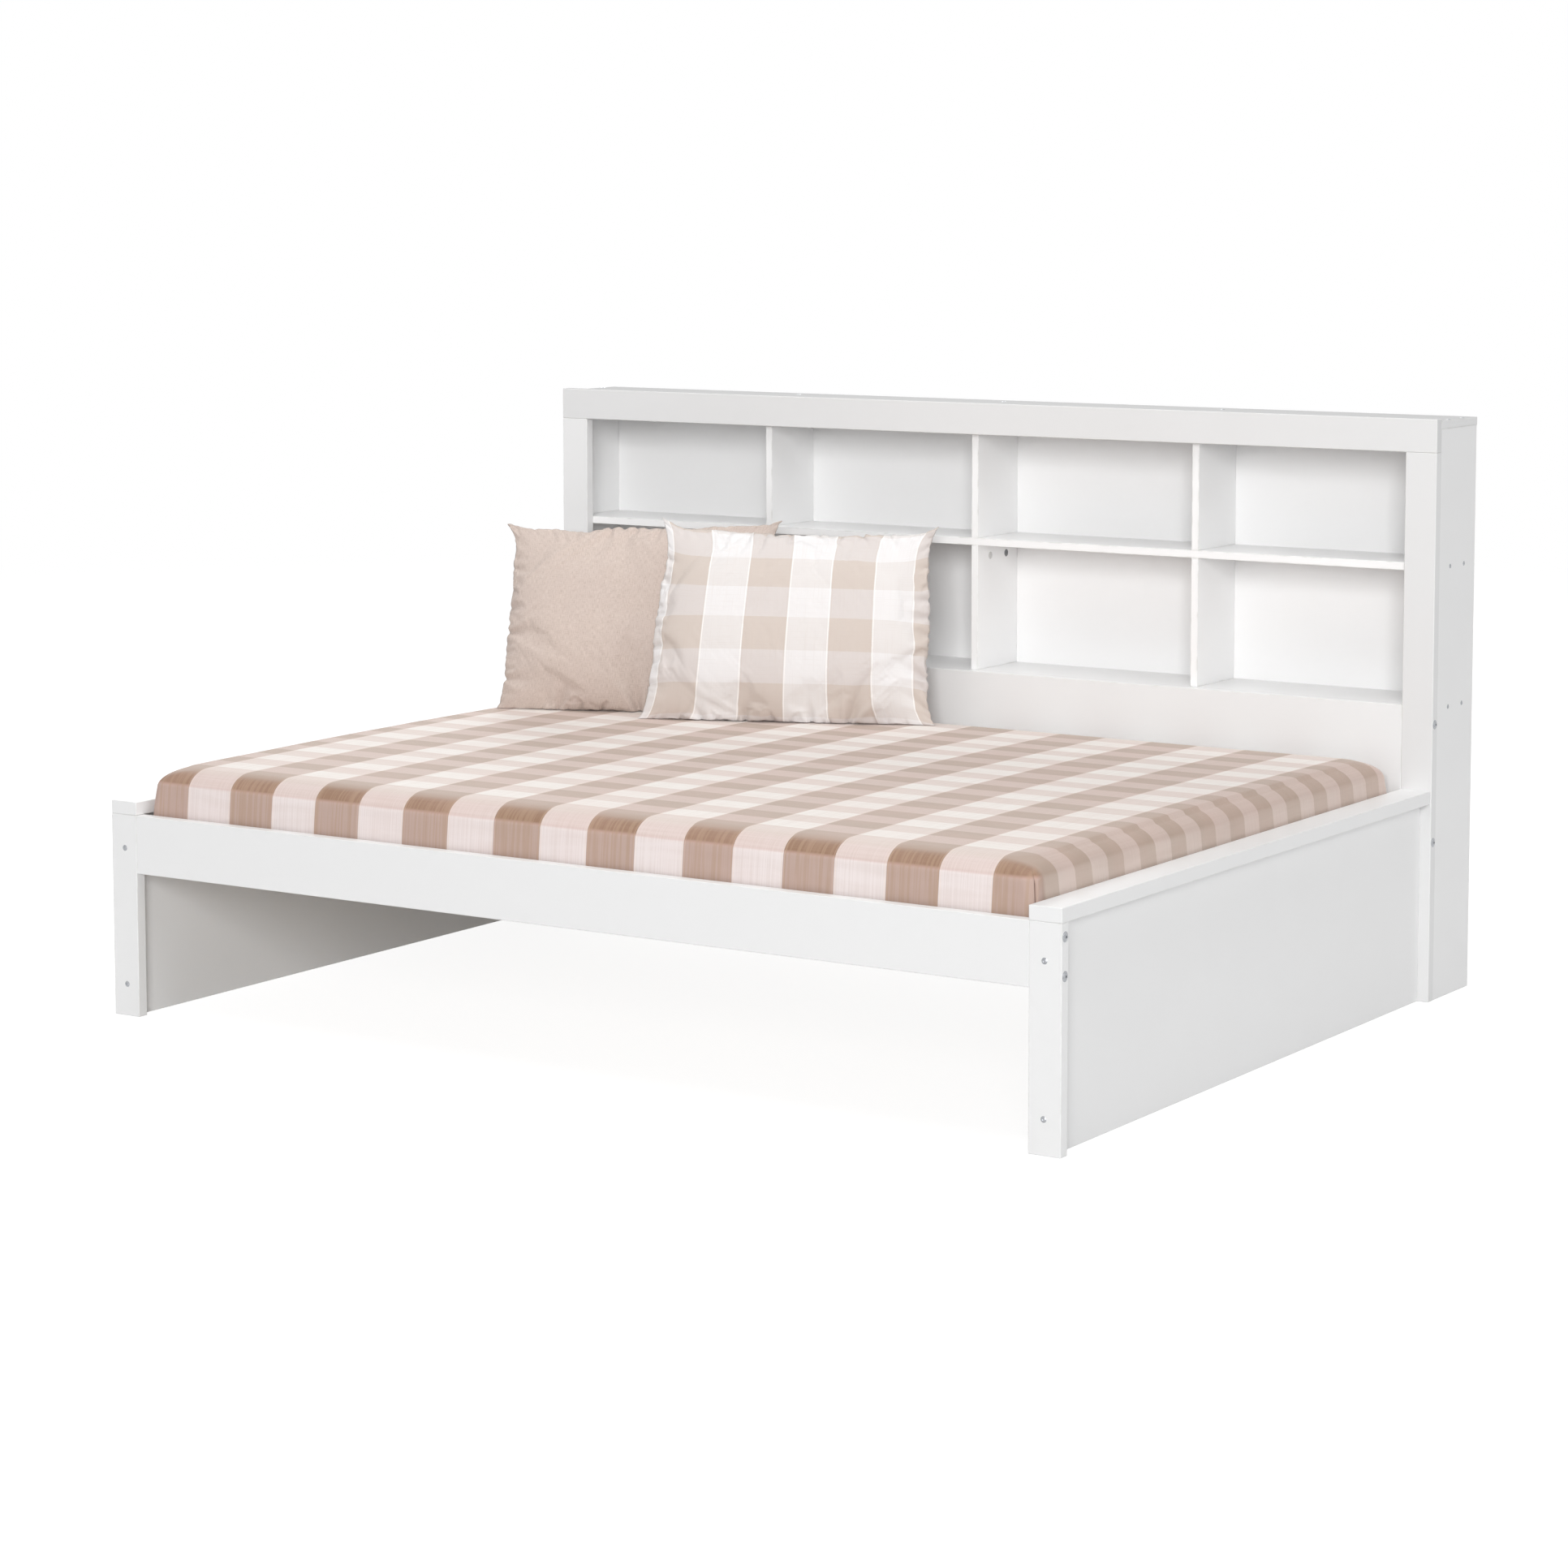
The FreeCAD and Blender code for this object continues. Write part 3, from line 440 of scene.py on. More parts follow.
@dataclass(frozen=True)
class Webbing(Finish):
    """Cream woven tape, ribbed across its length."""

    name: str
    cream: Colour = (0.66, 0.63, 0.56)
    shade: Colour = (0.45, 0.42, 0.36)
    rib: float = 1.6 * MM
    thread: float = 0.9 * MM

    def material(self) -> Material:
        """Ribs are a sine along X, crossed by finer threads along Y.

        Returns:
            The finished material.
        """
        graph = Graph(self.name)
        place = graph.place()
        x, y, _ = graph.split(place)
        ribs = graph.math("SINE", graph.times(x, math.tau / self.rib))
        threads = graph.math("SINE", graph.times(y, math.tau / self.thread))
        height = graph.math("ADD", ribs, graph.times(threads, 0.5))
        colour = graph.mix(graph.ramp(height, -1.2, 1.0), self.shade, self.cream)
        return graph.finish(colour, graph.ramp(height, -1.0, 1.0, 0.9, 0.75),
                            graph.bumps((height, 0.12 * MM)), Specular_IOR_Level=0.2)


# ---------------------------------------------------------------- finishes of cloth
@dataclass(frozen=True)
class Bands:
    """Woven bands across one direction of a cloth: equal coloured and white bands in turn."""

    width: float
    start: float
    soft: float

    def mask(self, graph: Graph, along: Socket) -> Socket:
        """Share of the coloured bands, which begin at start, by the distance across them."""
        return graph.ramp(self.inside(graph, along), -self.soft, self.soft)

    def inside(self, graph: Graph, along: Socket) -> Socket:
        """Signed distance to the nearest border: a triangle wave.

        Args:
            graph: The material being built.
            along: Distance across the bands.

        Returns:
            The distance, above 0 in coloured bands.
        """
        shifted = graph.math("SUBTRACT", along, self.start + self.width / 2)
        wave = graph.math("PINGPONG", shifted, self.width)
        return graph.math("SUBTRACT", self.width / 2, wave)


@dataclass(frozen=True)
class Check(Finish):
    """A woven check: two sets of bands that cross, and the four colours they give."""

    name: str
    columns: Bands
    rows: Bands
    white: Colour
    row_only: Colour
    column_only: Colour
    both: Colour

    def crossed(self, graph: Graph, column: object, row: object) -> Socket:
        """One of the four colours, by the shares of the coloured column and row."""
        return graph.mix(row, graph.mix(column, self.white, self.column_only),
                         graph.mix(column, self.row_only, self.both))


@dataclass(frozen=True)
class SheetGingham(Check):
    """The fitted sheet's wide beige gingham, printed square to the bed and streaked along each band."""

    name: str = "sheet_gingham"
    columns: Bands = Bands(101.0 * MM, -952.5 * MM, 0.7 * MM)
    rows: Bands = Bands(55.8 * MM, -748.0 * MM, 0.8 * MM)
    white: Colour = srgb(228, 223, 218)
    row_only: Colour = srgb(213, 200, 193)
    column_only: Colour = srgb(193, 174, 165)
    both: Colour = srgb(168, 148, 134)
    # Colours of the rolled front edge, with columns only, and darker than the top as painted shade.
    roll_shaded_white: Colour = srgb(214, 198, 193)
    roll_shaded_column: Colour = srgb(141, 110, 88)
    # Colours of the front face below the roll, with columns only, and darker than the top as painted shade.
    face_shaded_white: Colour = srgb(229, 219, 217)
    face_shaded_column: Colour = srgb(183, 159, 149)
    # Colours of the sides, with rows only, and darker than the top as painted shade.
    side_shaded_plain: Colour = srgb(212, 196, 187)
    side_shaded_row: Colour = srgb(194, 176, 164)
    side_at: float = 938.0 * MM
    front_from: float = -752.0 * MM
    front_to: float = -734.0 * MM
    roll_foot: float = 440.0 * MM
    # Painted shade in the fold at the foot of the roll.
    fold_painted_shade: Colour = srgb(190, 150, 138)
    slub_shade: Colour = srgb(170, 142, 118)
    line: float = 2.6 * MM
    line_inside: Tint = Tint(srgb(222, 196, 180), 0.0, 1.1 * MM, 0.28, 0.0)
    line_outside: Tint = Tint(srgb(236, 212, 192), 0.0, 1.1 * MM, 0.35, 0.0)
    # Painted shade down the slit of each corner dart.
    seam: Tint = Tint(srgb(86, 62, 52), 0.15, 0.8, 0.0, 0.85)
    streaks: Tint = Tint(srgb(168, 140, 122), 0.40, 0.62, 0.0, 0.16)
    clouds: Tint = Tint(srgb(214, 178, 170), 0.35, 0.7, 0.0, 0.10)
    thread: float = 0.75 * MM
    side_fade: float = 6 * MM
    foot_fade: tuple[float, float] = (3 * MM, 4 * MM)
    fold: Range = (0.0, 4 * MM, 0.3, 0.0)
    warp_share: float = 0.6
    weft_share: float = 0.4
    slubs: Range = (0.42, 0.62, 0.0, 0.5)

    def material(self) -> Material:
        """Four colours by the two sets of bands, painted shade on the roll, front face, sides, fold and
        corner slits, thin selvedge lines, streaks, threads and nap.

        Returns:
            The finished material.
        """
        graph = Graph(self.name)
        place = graph.place()
        x, y, z = graph.split(place)
        column, row = self.columns.mask(graph, x), self.rows.mask(graph, y)
        colour = self.crossed(graph, column, row)
        # Painted shade: the sides take their darker colours.
        side = graph.ramp(graph.math("ABSOLUTE", x), self.side_at, self.side_at + self.side_fade)
        colour = graph.mix(side, colour, graph.mix(row, self.side_shaded_plain, self.side_shaded_row))
        # Painted shade: the rolled front edge takes its darker colours.
        front = graph.ramp(y, self.front_from, self.front_to, 1.0, 0.0)
        colour = graph.mix(front, colour, graph.mix(column, self.roll_shaded_white, self.roll_shaded_column))
        # Painted shade: the front face below the roll takes its darker colours.
        under, above = self.foot_fade
        face = graph.ramp(z, self.roll_foot - under, self.roll_foot + above, 1.0, 0.0)
        plain = graph.mix(column, self.face_shaded_white, self.face_shaded_column)
        colour = graph.mix(graph.times(front, face), colour, plain)
        # Painted shade along the fold at the foot of the roll.
        fold = graph.ramp(graph.apart(z, self.roll_foot), *self.fold)
        colour = graph.mix(graph.times(front, fold), colour, self.fold_painted_shade)
        inside = self.columns.inside(graph, x)
        colour = self.line_inside.over(graph, graph.apart(inside, self.line), colour)
        colour = self.line_outside.over(graph, graph.apart(inside, -self.line), colour)
        # Painted shade down each corner dart's slit, by the mark on the mesh.
        slit_shade = graph.add("Attribute", attribute_name=SLIT_SHADE_MARK).outputs["Fac"]
        colour = self.seam.over(graph, slit_shade, colour)
        warp = graph.noise(place, (420.0, 4.0, 4.0), 3.0)
        weft = graph.noise(place, (4.0, 420.0, 14.0), 3.0)
        streak = graph.math("ADD", graph.times(warp, self.warp_share),
                            graph.times(weft, self.weft_share))
        colour = self.streaks.over(graph, streak, colour)
        slub = graph.ramp(graph.noise(place, (190.0, 3.0, 5.0), 3.0), *self.slubs)
        slub = graph.times(graph.times(slub, column), front)
        colour = graph.mix(slub, colour, self.slub_shade)
        colour = self.clouds.over(graph, graph.noise(place, (7.0, 14.0, 7.0), 3.0), colour)
        normal = graph.bumps((graph.noise(place, 30.0, 3.0), 0.5 * MM), (streak, 0.05 * MM),
                             (weave(graph, place, self.thread), 0.05 * MM))
        return graph.finish(colour, 0.72, normal, Specular_IOR_Level=0.42, Sheen_Weight=0.22,
                            Sheen_Roughness=0.45, Sheen_Tint=(1.0, 0.97, 0.95, 1.0))


@dataclass(frozen=True)
class PillowCheck(Check):
    """The front pillow's beige and white check, which follows its cloth."""

    name: str = "pillow_check_cotton"
    columns: Bands = Bands(96.7 * MM, -294.0 * MM, 0.5 * MM)
    rows: Bands = Bands(70.0 * MM, -65.5 * MM, 0.5 * MM)
    white: Colour = srgb(226, 224, 224)
    row_only: Colour = srgb(219, 215, 213)
    column_only: Colour = srgb(209, 202, 199)
    both: Colour = srgb(202, 191, 183)
    line: float = 2.2 * MM
    line_outside: Tint = Tint(srgb(245, 242, 239), 0.3 * MM, 1.6 * MM, 0.8, 0.0)
    line_inside: Tint = Tint(srgb(196, 176, 158), 0.0, 1.2 * MM, 0.22, 0.0)
    slubs: Tint = Tint(srgb(188, 168, 152), 0.5, 0.75, 0.0, 0.10)
    thread: float = 0.9 * MM

    def material(self) -> Material:
        """Four colours by the two sets of bands, with a white thread line beside each column.

        Returns:
            The finished material.
        """
        graph = Graph(self.name)
        cloth = graph.cloth()
        s, t, _ = graph.split(cloth)
        colour = self.crossed(graph, self.columns.mask(graph, s), self.rows.mask(graph, t))
        inside = self.columns.inside(graph, s)
        colour = self.line_outside.over(graph, graph.apart(inside, -self.line), colour)
        colour = self.line_inside.over(graph, graph.apart(inside, self.line), colour)
        streak = graph.math("MAXIMUM", graph.noise(cloth, (500.0, 9.0, 1.0)),
                            graph.noise(cloth, (9.0, 500.0, 1.0)))
        colour = self.slubs.over(graph, streak, colour)
        normal = graph.bumps((graph.noise(cloth, (26.0, 26.0, 1.0), 3.0), 0.6 * MM),
                             (weave(graph, cloth, self.thread), 0.07 * MM))
        return graph.finish(colour, 0.8, normal, Specular_IOR_Level=0.25, Sheen_Weight=0.12,
                            Sheen_Roughness=0.5)


@dataclass(frozen=True)
class PillowLinen(Finish):
    """The rear pillow's plain linen: uneven threads in a warm grey beige."""

    name: str = "pillow_linen_weave"
    body: Colour = srgb(202, 187, 178)
    thick: Colour = srgb(178, 161, 150)
    thin: Colour = srgb(221, 208, 199)
    thread: float = 1.5 * MM
    clouds: Tint = Tint(srgb(190, 176, 172), 0.35, 0.7, 0.0, 0.12)
    fineness: float = 1.15
    drawn_out: float = 9.0
    grit_fineness: float = 1.3
    thick_yarn: Range = (0.5, 0.72)
    thin_yarn: Range = (0.5, 0.3)
    thick_share: float = 0.55
    thin_share: float = 0.35
    thick_height: float = 0.8

    def material(self) -> Material:
        """Threads both ways, each lighter or darker by noise drawn out along it.

        Returns:
            The finished material.
        """
        graph = Graph(self.name)
        cloth = graph.cloth()
        fine = self.fineness / self.thread
        slow, gritty = fine / self.drawn_out, fine * self.grit_fineness
        warp = graph.noise(cloth, (fine, slow, 1.0))
        weft = graph.noise(cloth, (slow, fine, 1.0))
        grit = graph.noise(cloth, (gritty, gritty, 1.0), 1.0)
        dark = graph.math("ADD", graph.ramp(warp, *self.thick_yarn), graph.ramp(weft, *self.thick_yarn))
        light = graph.math("ADD", graph.ramp(warp, *self.thin_yarn), graph.ramp(grit, *self.thin_yarn))
        colour = graph.mix(graph.times(dark, self.thick_share), self.body, self.thick)
        colour = graph.mix(graph.times(light, self.thin_share), colour, self.thin)
        colour = self.clouds.over(graph, graph.noise(cloth, (8.0, 8.0, 1.0), 3.0), colour)
        height = graph.math("ADD", weave(graph, cloth, self.thread), graph.times(dark, self.thick_height))
        normal = graph.bumps((graph.noise(cloth, (22.0, 22.0, 1.0), 3.0), 0.7 * MM), (height, 0.16 * MM))
        return graph.finish(colour, 0.88, normal, Specular_IOR_Level=0.2, Sheen_Weight=0.15,
                            Sheen_Roughness=0.5)


@dataclass(frozen=True)
class Ticking(Finish):
    """The mattress's own plain cover, with a fine herringbone."""

    name: str = "mattress_ticking"
    cream: Colour = srgb(232, 229, 222)
    shade: Colour = srgb(205, 200, 190)
    turn: float = 8 * MM
    rib: float = 1.8 * MM

    def material(self) -> Material:
        """Herringbone is a sine along X plus Y, which turns back at even steps of X.

        Returns:
            The finished material.
        """
        graph = Graph(self.name)
        place = graph.place()
        x, y, _ = graph.split(place)
        slope = graph.math("ADD", graph.math("PINGPONG", x, self.turn), y)
        rib = graph.math("SINE", graph.times(slope, math.tau / self.rib))
        colour = graph.mix(graph.ramp(rib, -1.0, 1.0, 0.55, 0.0), self.cream, self.shade)
        normal = graph.bumps((graph.noise(place, 12.0), 1.5 * MM), (rib, 0.08 * MM))
        return graph.finish(colour, 0.85, normal, Specular_IOR_Level=0.2, Sheen_Weight=0.1)


def weave(graph: Graph, vector: Socket, pitch: float) -> Socket:
    """Height of a plain weave, -1 to 1: the product of two sines, so warp and weft are up in turn."""
    first, second, _ = graph.split(graph.vector("SCALE", vector, None, None, math.pi / pitch))
    return graph.times(graph.math("SINE", first), graph.math("SINE", second))


# ---------------------------------------------------------------- meshes
def grid_faces(rows: int, columns: int, closed: bool) -> Array:
    """Quads of a grid of points stored row by row.

    Args:
        rows: Rows of points.
        columns: Points in a row.
        closed: Whether each row runs back into its own start.

    Returns:
        Four indices a face, wound so that they face out when rows go down and columns go
        round against the clock.
    """
    last = columns if closed else columns - 1
    row, column = np.meshgrid(np.arange(rows - 1), np.arange(last), indexing="ij")
    beside = (column + 1) % columns
    corners = (row * columns + column, (row + 1) * columns + column,
               (row + 1) * columns + beside, row * columns + beside)
    return np.stack(corners, axis=-1).reshape(-1, 4)


def mark(piece: Piece, name: str, values: Array) -> None:
    """Gives each vertex of a piece a number that its material reads, under the attribute's name."""
    layer = piece.data.attributes.new(name, "FLOAT", "POINT")
    layer.data.foreach_set("value", values.astype(np.float32))


def mesh_piece(name: str, points: Array, faces: list | Array, cloth: Array | None = None) -> Piece:
    """Makes a smooth-shaded object at the origin.

    Args:
        name: Name of the piece.
        points: Its vertices, n by 3, in metres.
        faces: Vertex indices of each face.
        cloth: Cloth coordinates of each vertex, n by 2, or None.

    Returns:
        The new object, linked to the scene.
    """
    mesh = bpy.data.meshes.new(name)
    mesh.from_pydata(points.tolist(), [], [list(map(int, face)) for face in faces])
    if cloth is not None:
        layer = mesh.uv_layers.new(name=CLOTH_MAP)
        corners = np.empty(len(mesh.loops), dtype=np.int32)
        mesh.loops.foreach_get("vertex_index", corners)
        layer.uv.foreach_set("vector", cloth[corners].astype(np.float32).ravel())
    mesh.polygons.foreach_set("use_smooth", np.ones(len(mesh.polygons), dtype=bool))
    mesh.update()
    piece = bpy.data.objects.new(name, mesh)
    bpy.context.scene.collection.objects.link(piece)
    return piece


def ripples(along: Array, seed: int, longest: float, waves: int = 6) -> Array:
    """Uneven waviness: a sum of sines of rising frequency with seeded phases, about -1 to 1.

    Args:
        along: Distances in metres.
        seed: Seed of the phases and frequencies.
        longest: Longest wavelength in metres.
        waves: How many sines.

    Returns:
        The waviness at each distance.
    """
    chance = np.random.default_rng(seed)
    total = np.zeros_like(along)
    for order in range(waves):
        pace = (1.0 + order * RIPPLE_PACE + RIPPLE_CHANCE * chance.random()) * math.tau / longest
        total += np.sin(along * pace + chance.random() * math.tau) / (1.0 + RIPPLE_FALL * order)
    return total / RIPPLE_SUM


# ---------------------------------------------------------------- mattress and fitted sheet
@dataclass
class MattressForm:
    """The soft block: crowned top, rolled edges, swelling sides and small upright corners.

    A ring is a rounded rectangle; the rings go from the middle of the top over the roll, down
    the sides and in again underneath.
    """

    low: Array
    high: Array
    inward: float = 0.0
    roll_out: float = 53 * MM
    roll_down: float = 36.5 * MM
    crown: float = 5.5 * MM
    edge_drop: float = 3 * MM
    lean: float = 5.5 * MM
    corner: float = 21 * MM
    corner_growth: float = 0.62
    foot_roll: float = 20 * MM
    hem_reach: float = 118 * MM
    widest_at: float = 0.8
    undercut: float = 3 * MM
    top_crowding: float = 0.8
    side_points: int = 84
    end_points: int = 62
    corner_points: int = 17
    top_rings: int = 26
    roll_rings: int = 14
    face_rings: int = 15
    foot_rings: int = 8
    hem_rings: int = 9
    under_rings: int = 11

    def steps(self, count: int, end: float = 1.0) -> Array:
        """Even steps from 0, which is left out, to the end."""
        return np.linspace(0.0, end, count + 1)[1:]

    def profile(self, closed: bool) -> tuple[Array, Array, Array]:
        """Section of the block's edge.

        Args:
            closed: Whether the underside closes in the middle, as the mattress's does.

        Returns:
            Each ring's inset from the widest face as a length, its height, and the share of
            the way to the middle that is added on the top and the closed underside.
        """
        top, foot = self.high[2] - self.edge_drop - self.inward, self.low[2] + self.inward
        share = np.linspace(1.0, 0.0, self.top_rings) ** self.top_crowding
        flat = np.full_like(share, self.roll_out + self.lean)
        turn = self.steps(self.roll_rings, math.pi / 2)
        roll_in = self.lean + self.roll_out * (1 - np.sin(turn))
        roll_z = top - self.roll_down * (1 - np.cos(turn))
        face_top, face_low = top - self.roll_down, foot + self.foot_roll
        down = self.steps(self.face_rings)
        face_z = face_top + (face_low - face_top) * down
        swell = 1 - np.sin(np.clip(down / self.widest_at, 0, 1) * math.pi / 2)
        face_in = self.lean * swell + self.undercut * down ** 4
        turn = self.steps(self.foot_rings, math.pi / 2)
        foot_in = face_in[-1] + self.foot_roll * (1 - np.cos(turn))
        foot_z = foot + self.foot_roll * (1 - np.sin(turn))
        reach = np.linspace(foot_in[-1], self.hem_reach, self.hem_rings + 1)[1:]
        inset = np.concatenate([flat, roll_in, face_in, foot_in, reach])
        height = np.concatenate([np.full_like(flat, top), roll_z, face_z, foot_z, np.full_like(reach, foot)])
        middle = np.concatenate([share, np.zeros(len(inset) - len(share))])
        if closed:
            back = self.steps(self.under_rings)
            inset = np.concatenate([inset, np.full_like(back, self.hem_reach)])
            height = np.concatenate([height, np.full_like(back, foot)])
            middle = np.concatenate([middle, back])
        return inset + self.inward, height, middle

    def ring_stations(self) -> tuple[Array, Array, Array]:
        """Where the points of a ring lie.

        Returns:
            For each point: its place along the straight side or end from -1 to 1 on each
            axis (2 columns), the angle of its outward normal, and its corner's share.
        """
        signs, angles, corners = [], [], []
        swing = np.linspace(0.0, 1.0, self.corner_points + 2)[1:-1]
        for index, count in enumerate((self.end_points, self.side_points) * 2):
            base = index * math.pi / 2
            turn = np.array([[math.cos(base), math.sin(base)], [-math.sin(base), math.cos(base)]])
            run = np.linspace(-1.0, 1.0, count + 1)
            signs += [np.column_stack([np.ones_like(run), run]) @ turn, np.ones((len(swing), 2)) @ turn]
            angles += [np.full_like(run, base), base + swing * math.pi / 2]
            corners += [np.zeros_like(run), swing]
        return np.concatenate(signs), np.concatenate(angles), np.concatenate(corners)

    def surface(self, closed: bool) -> tuple[Array, Array, Array, Array]:
        """Points of all the rings.

        Args:
            closed: Whether the underside closes in the middle.

        Returns:
            Points as rings by stations by 3, the outward directions, each ring's inset and
            each station's share of its corner.
        """
        inset, height, middle = self.profile(closed)
        signs, angles, corner_share = self.ring_stations()
        half = (self.high[:2] - self.low[:2]) / 2
        centre = (self.high[:2] + self.low[:2]) / 2
        radius = self.corner + self.corner_growth * inset
        shrink = (1.0 - middle)[:, None, None]
        straight = half[None, :] - inset[:, None] - radius[:, None]
        outward = np.stack([np.cos(angles), np.sin(angles)], axis=1)
        flat = signs[None] * straight[:, None, :] + outward[None] * radius[:, None, None]
        flat = flat * shrink
        off = flat[..., 1] / half[1]
        on_top = height[:, None] > self.high[2] - 2 * self.edge_drop - self.inward
        crown = self.crown * np.clip(1 - off ** 2, 0, 1) * on_top
        x, y = flat[..., 0] + centre[0], flat[..., 1] + centre[1]
        z = np.repeat(height[:, None], len(angles), axis=1) + crown
        return np.stack([x, y, z], axis=-1), outward, inset, corner_share

    def closed_faces(self, points: Array, closed: bool) -> tuple[Array, list]:
        """Welds the rings' first (and last) row into a single point each.

        Args:
            points: Rings by stations by 3.
            closed: Whether the last ring is a point too.

        Returns:
            Vertices n by 3, and the faces.
        """
        body = points[1:-1] if closed else points[1:]
        count, stations = body.shape[:2]
        vertices = [body.reshape(-1, 3), points[:1, :, :].mean(axis=1)]
        faces = grid_faces(count, stations, True).tolist()
        pole = count * stations
        around = np.arange(stations)
        beside = (around + 1) % stations
        faces += np.stack([np.full(stations, pole), around, beside], axis=1).tolist()
        if closed:
            vertices.append(points[-1:, :, :].mean(axis=1))
            row = (count - 1) * stations
            faces += np.stack([row + around, np.full(stations, pole + 1), row + beside], axis=1).tolist()
        return np.concatenate(vertices), faces


@dataclass
class Bedding:
    """The mattress and the fitted sheet over it, made from one form."""

    cloth: float = 1.1 * MM
    air: float = 0.5 * MM
    seam_depth: float = 6.0 * MM
    seam_width: float = 0.035
    seam_place: float = 0.62
    lap_place: float = 0.72
    lap_width: float = 0.055
    lap_height: float = 0.9 * MM
    # Where the painted shade in the corner slits starts below the top, and over what height it grows.
    slit_shade_from: float = 16 * MM
    slit_shade_over: float = 22 * MM
    drag_height: float = 0.9 * MM
    drag_fade: float = 60 * MM
    hem_from: float = 30 * MM
    hem_over: float = 80 * MM
    hem_pitch: float = 36 * MM
    gather: float = 1.8 * MM
    lift: float = 0.4 * MM
    wrinkle: float = 0.35 * MM
    wrinkle_from: float = 10 * MM
    wrinkle_over: float = 6 * MM
    measured_ring: int = 30
    hem_level: float = 2 * MM
    gather_wander: float = 1.7
    seam_from: float = 12 * MM
    seam_over: float = 18 * MM
    seam_end: float = 10 * MM

    def build(self) -> None:
        """Builds, dresses and declares both pieces."""
        self.make_sheet(self.form())
        self.make_mattress(self.form(self.cloth + self.air))

    def form(self, inward: float = 0.0) -> MattressForm:
        """The bedding's form, drawn in by a distance."""
        low, high = (np.array(corner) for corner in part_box("fitted_sheet"))
        return MattressForm(low, high, inward=inward)

    def make_sheet(self, form: MattressForm) -> None:
        """The fitted sheet: corner darts, faint drag lines and a gathered hem.

        Args:
            form: The shape that it is stretched over.
        """
        points, outward, inset, corner_share = form.surface(False)
        height = points[..., 2]
        top, foot = form.high[2], form.low[2]
        dart, push = self.draw_seam(form, height, corner_share)
        edge = points[self.measured_ring]
        length = np.cumsum(np.linalg.norm(np.diff(edge, axis=0, prepend=edge[-1:]), axis=1))
        drag = ripples(length, seed=7, longest=0.9)[None] * np.clip((top - height) / self.drag_fade, 0, 1)
        drag *= self.drag_height * (corner_share == 0)[None]
        points[..., :2] += (push + drag)[..., None] * outward[None]
        hem = np.clip((inset - self.hem_from) / self.hem_over, 0, 1)[:, None]
        hem = hem * (height < foot + self.hem_level)
        wander = self.gather_wander * ripples(length, seed=5, longest=0.4)[None]
        folds = np.abs(np.sin(length[None] * math.pi / self.hem_pitch + wander))
        points[..., 2] += self.lift + hem * self.gather * folds
        creases = ripples(points[..., 0], seed=3, longest=1.1)
        creases *= ripples(points[..., 1], seed=4, longest=0.8)
        on_top = np.clip((height - top + self.wrinkle_from) / self.wrinkle_over, 0, 1)
        points[..., 2] += self.wrinkle * creases * on_top
        vertices, faces = form.closed_faces(points, False)
        piece = mesh_piece("fitted_sheet_cotton", vertices, faces, vertices[:, :2])
        # Painted shade: the slit of each corner dart is marked darker below the top.
        slit_shade = (dart[None] * np.clip((top - self.slit_shade_from - height) / self.slit_shade_over, 0, 1)) ** 2
        mark(piece, SLIT_SHADE_MARK, np.append(slit_shade[1:].ravel(), 0.0))
        thick = piece.modifiers.new("cloth", "SOLIDIFY")
        thick.thickness, thick.offset = self.cloth, -1.0
        piece.data.materials.append(SheetGingham().material())
        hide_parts("fitted_sheet")
        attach(piece, "mattress")

    def draw_seam(self, form: MattressForm, height: Array, corner_share: Array) -> tuple[Array, Array]:
        """Corner darts: a narrow Gaussian valley down each corner with a low lap beside it.

        Args:
            form: The bedding's form.
            height: Height of each point.
            corner_share: Each station's share of its corner.

        Returns:
            The valley's strength at each station, and how far each point moves outward.
        """
        on_side = np.clip((form.high[2] - self.seam_from - height) / self.seam_over, 0, 1)
        on_side *= np.clip((height - form.low[2]) / self.seam_end, 0, 1)
        dart = np.exp(-((corner_share - self.seam_place) / self.seam_width) ** 2)
        lap = np.exp(-((corner_share - self.lap_place) / self.lap_width) ** 2)
        return dart, (self.lap_height * lap - self.seam_depth * dart)[None] * on_side

    def make_mattress(self, form: MattressForm) -> None:
        """The mattress under the sheet.

        Args:
            form: The shape, drawn in by the sheet's thickness.
        """
        points, outward, _, corner_share = form.surface(True)
        push = self.draw_seam(form, points[..., 2], corner_share)[1]
        points[..., :2] += np.minimum(push, 0)[..., None] * outward[None]
        vertices, faces = form.closed_faces(points, True)
        piece = mesh_piece("mattress_foam", vertices, faces)
        piece.data.materials.append(Ticking().material())
        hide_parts("mattress")
        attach(piece, "mattress")
        log.info("mattress: %d faces", len(faces))


# ---------------------------------------------------------------- pillows
def weld(front: Array, back: Array) -> tuple[Array, list, Array, Array]:
    """Closed shell of two grids that share their rim.

    Args:
        front: Points, rows by columns by 3, wound to face -Y.
        back: Points behind them, whose own rim is left out.

    Returns:
        Vertices, faces, and each grid point's vertex number in front and behind.
    """
    rows, columns = front.shape[:2]
    number = np.arange(rows * columns).reshape(rows, columns)
    inner = np.zeros((rows, columns), dtype=bool)
    inner[1:-1, 1:-1] = True
    behind = number.copy()
    behind[inner] = rows * columns + np.arange(inner.sum())
    faces = []
    for ids, facing in ((number, 1), (behind, -1)):
        quads = np.stack([ids[:-1, :-1], ids[:-1, 1:], ids[1:, 1:], ids[1:, :-1]], axis=-1)
        faces += quads.reshape(-1, 4)[:, ::facing].tolist()
    return np.concatenate([front.reshape(-1, 3), back[inner]]), faces, number, behind


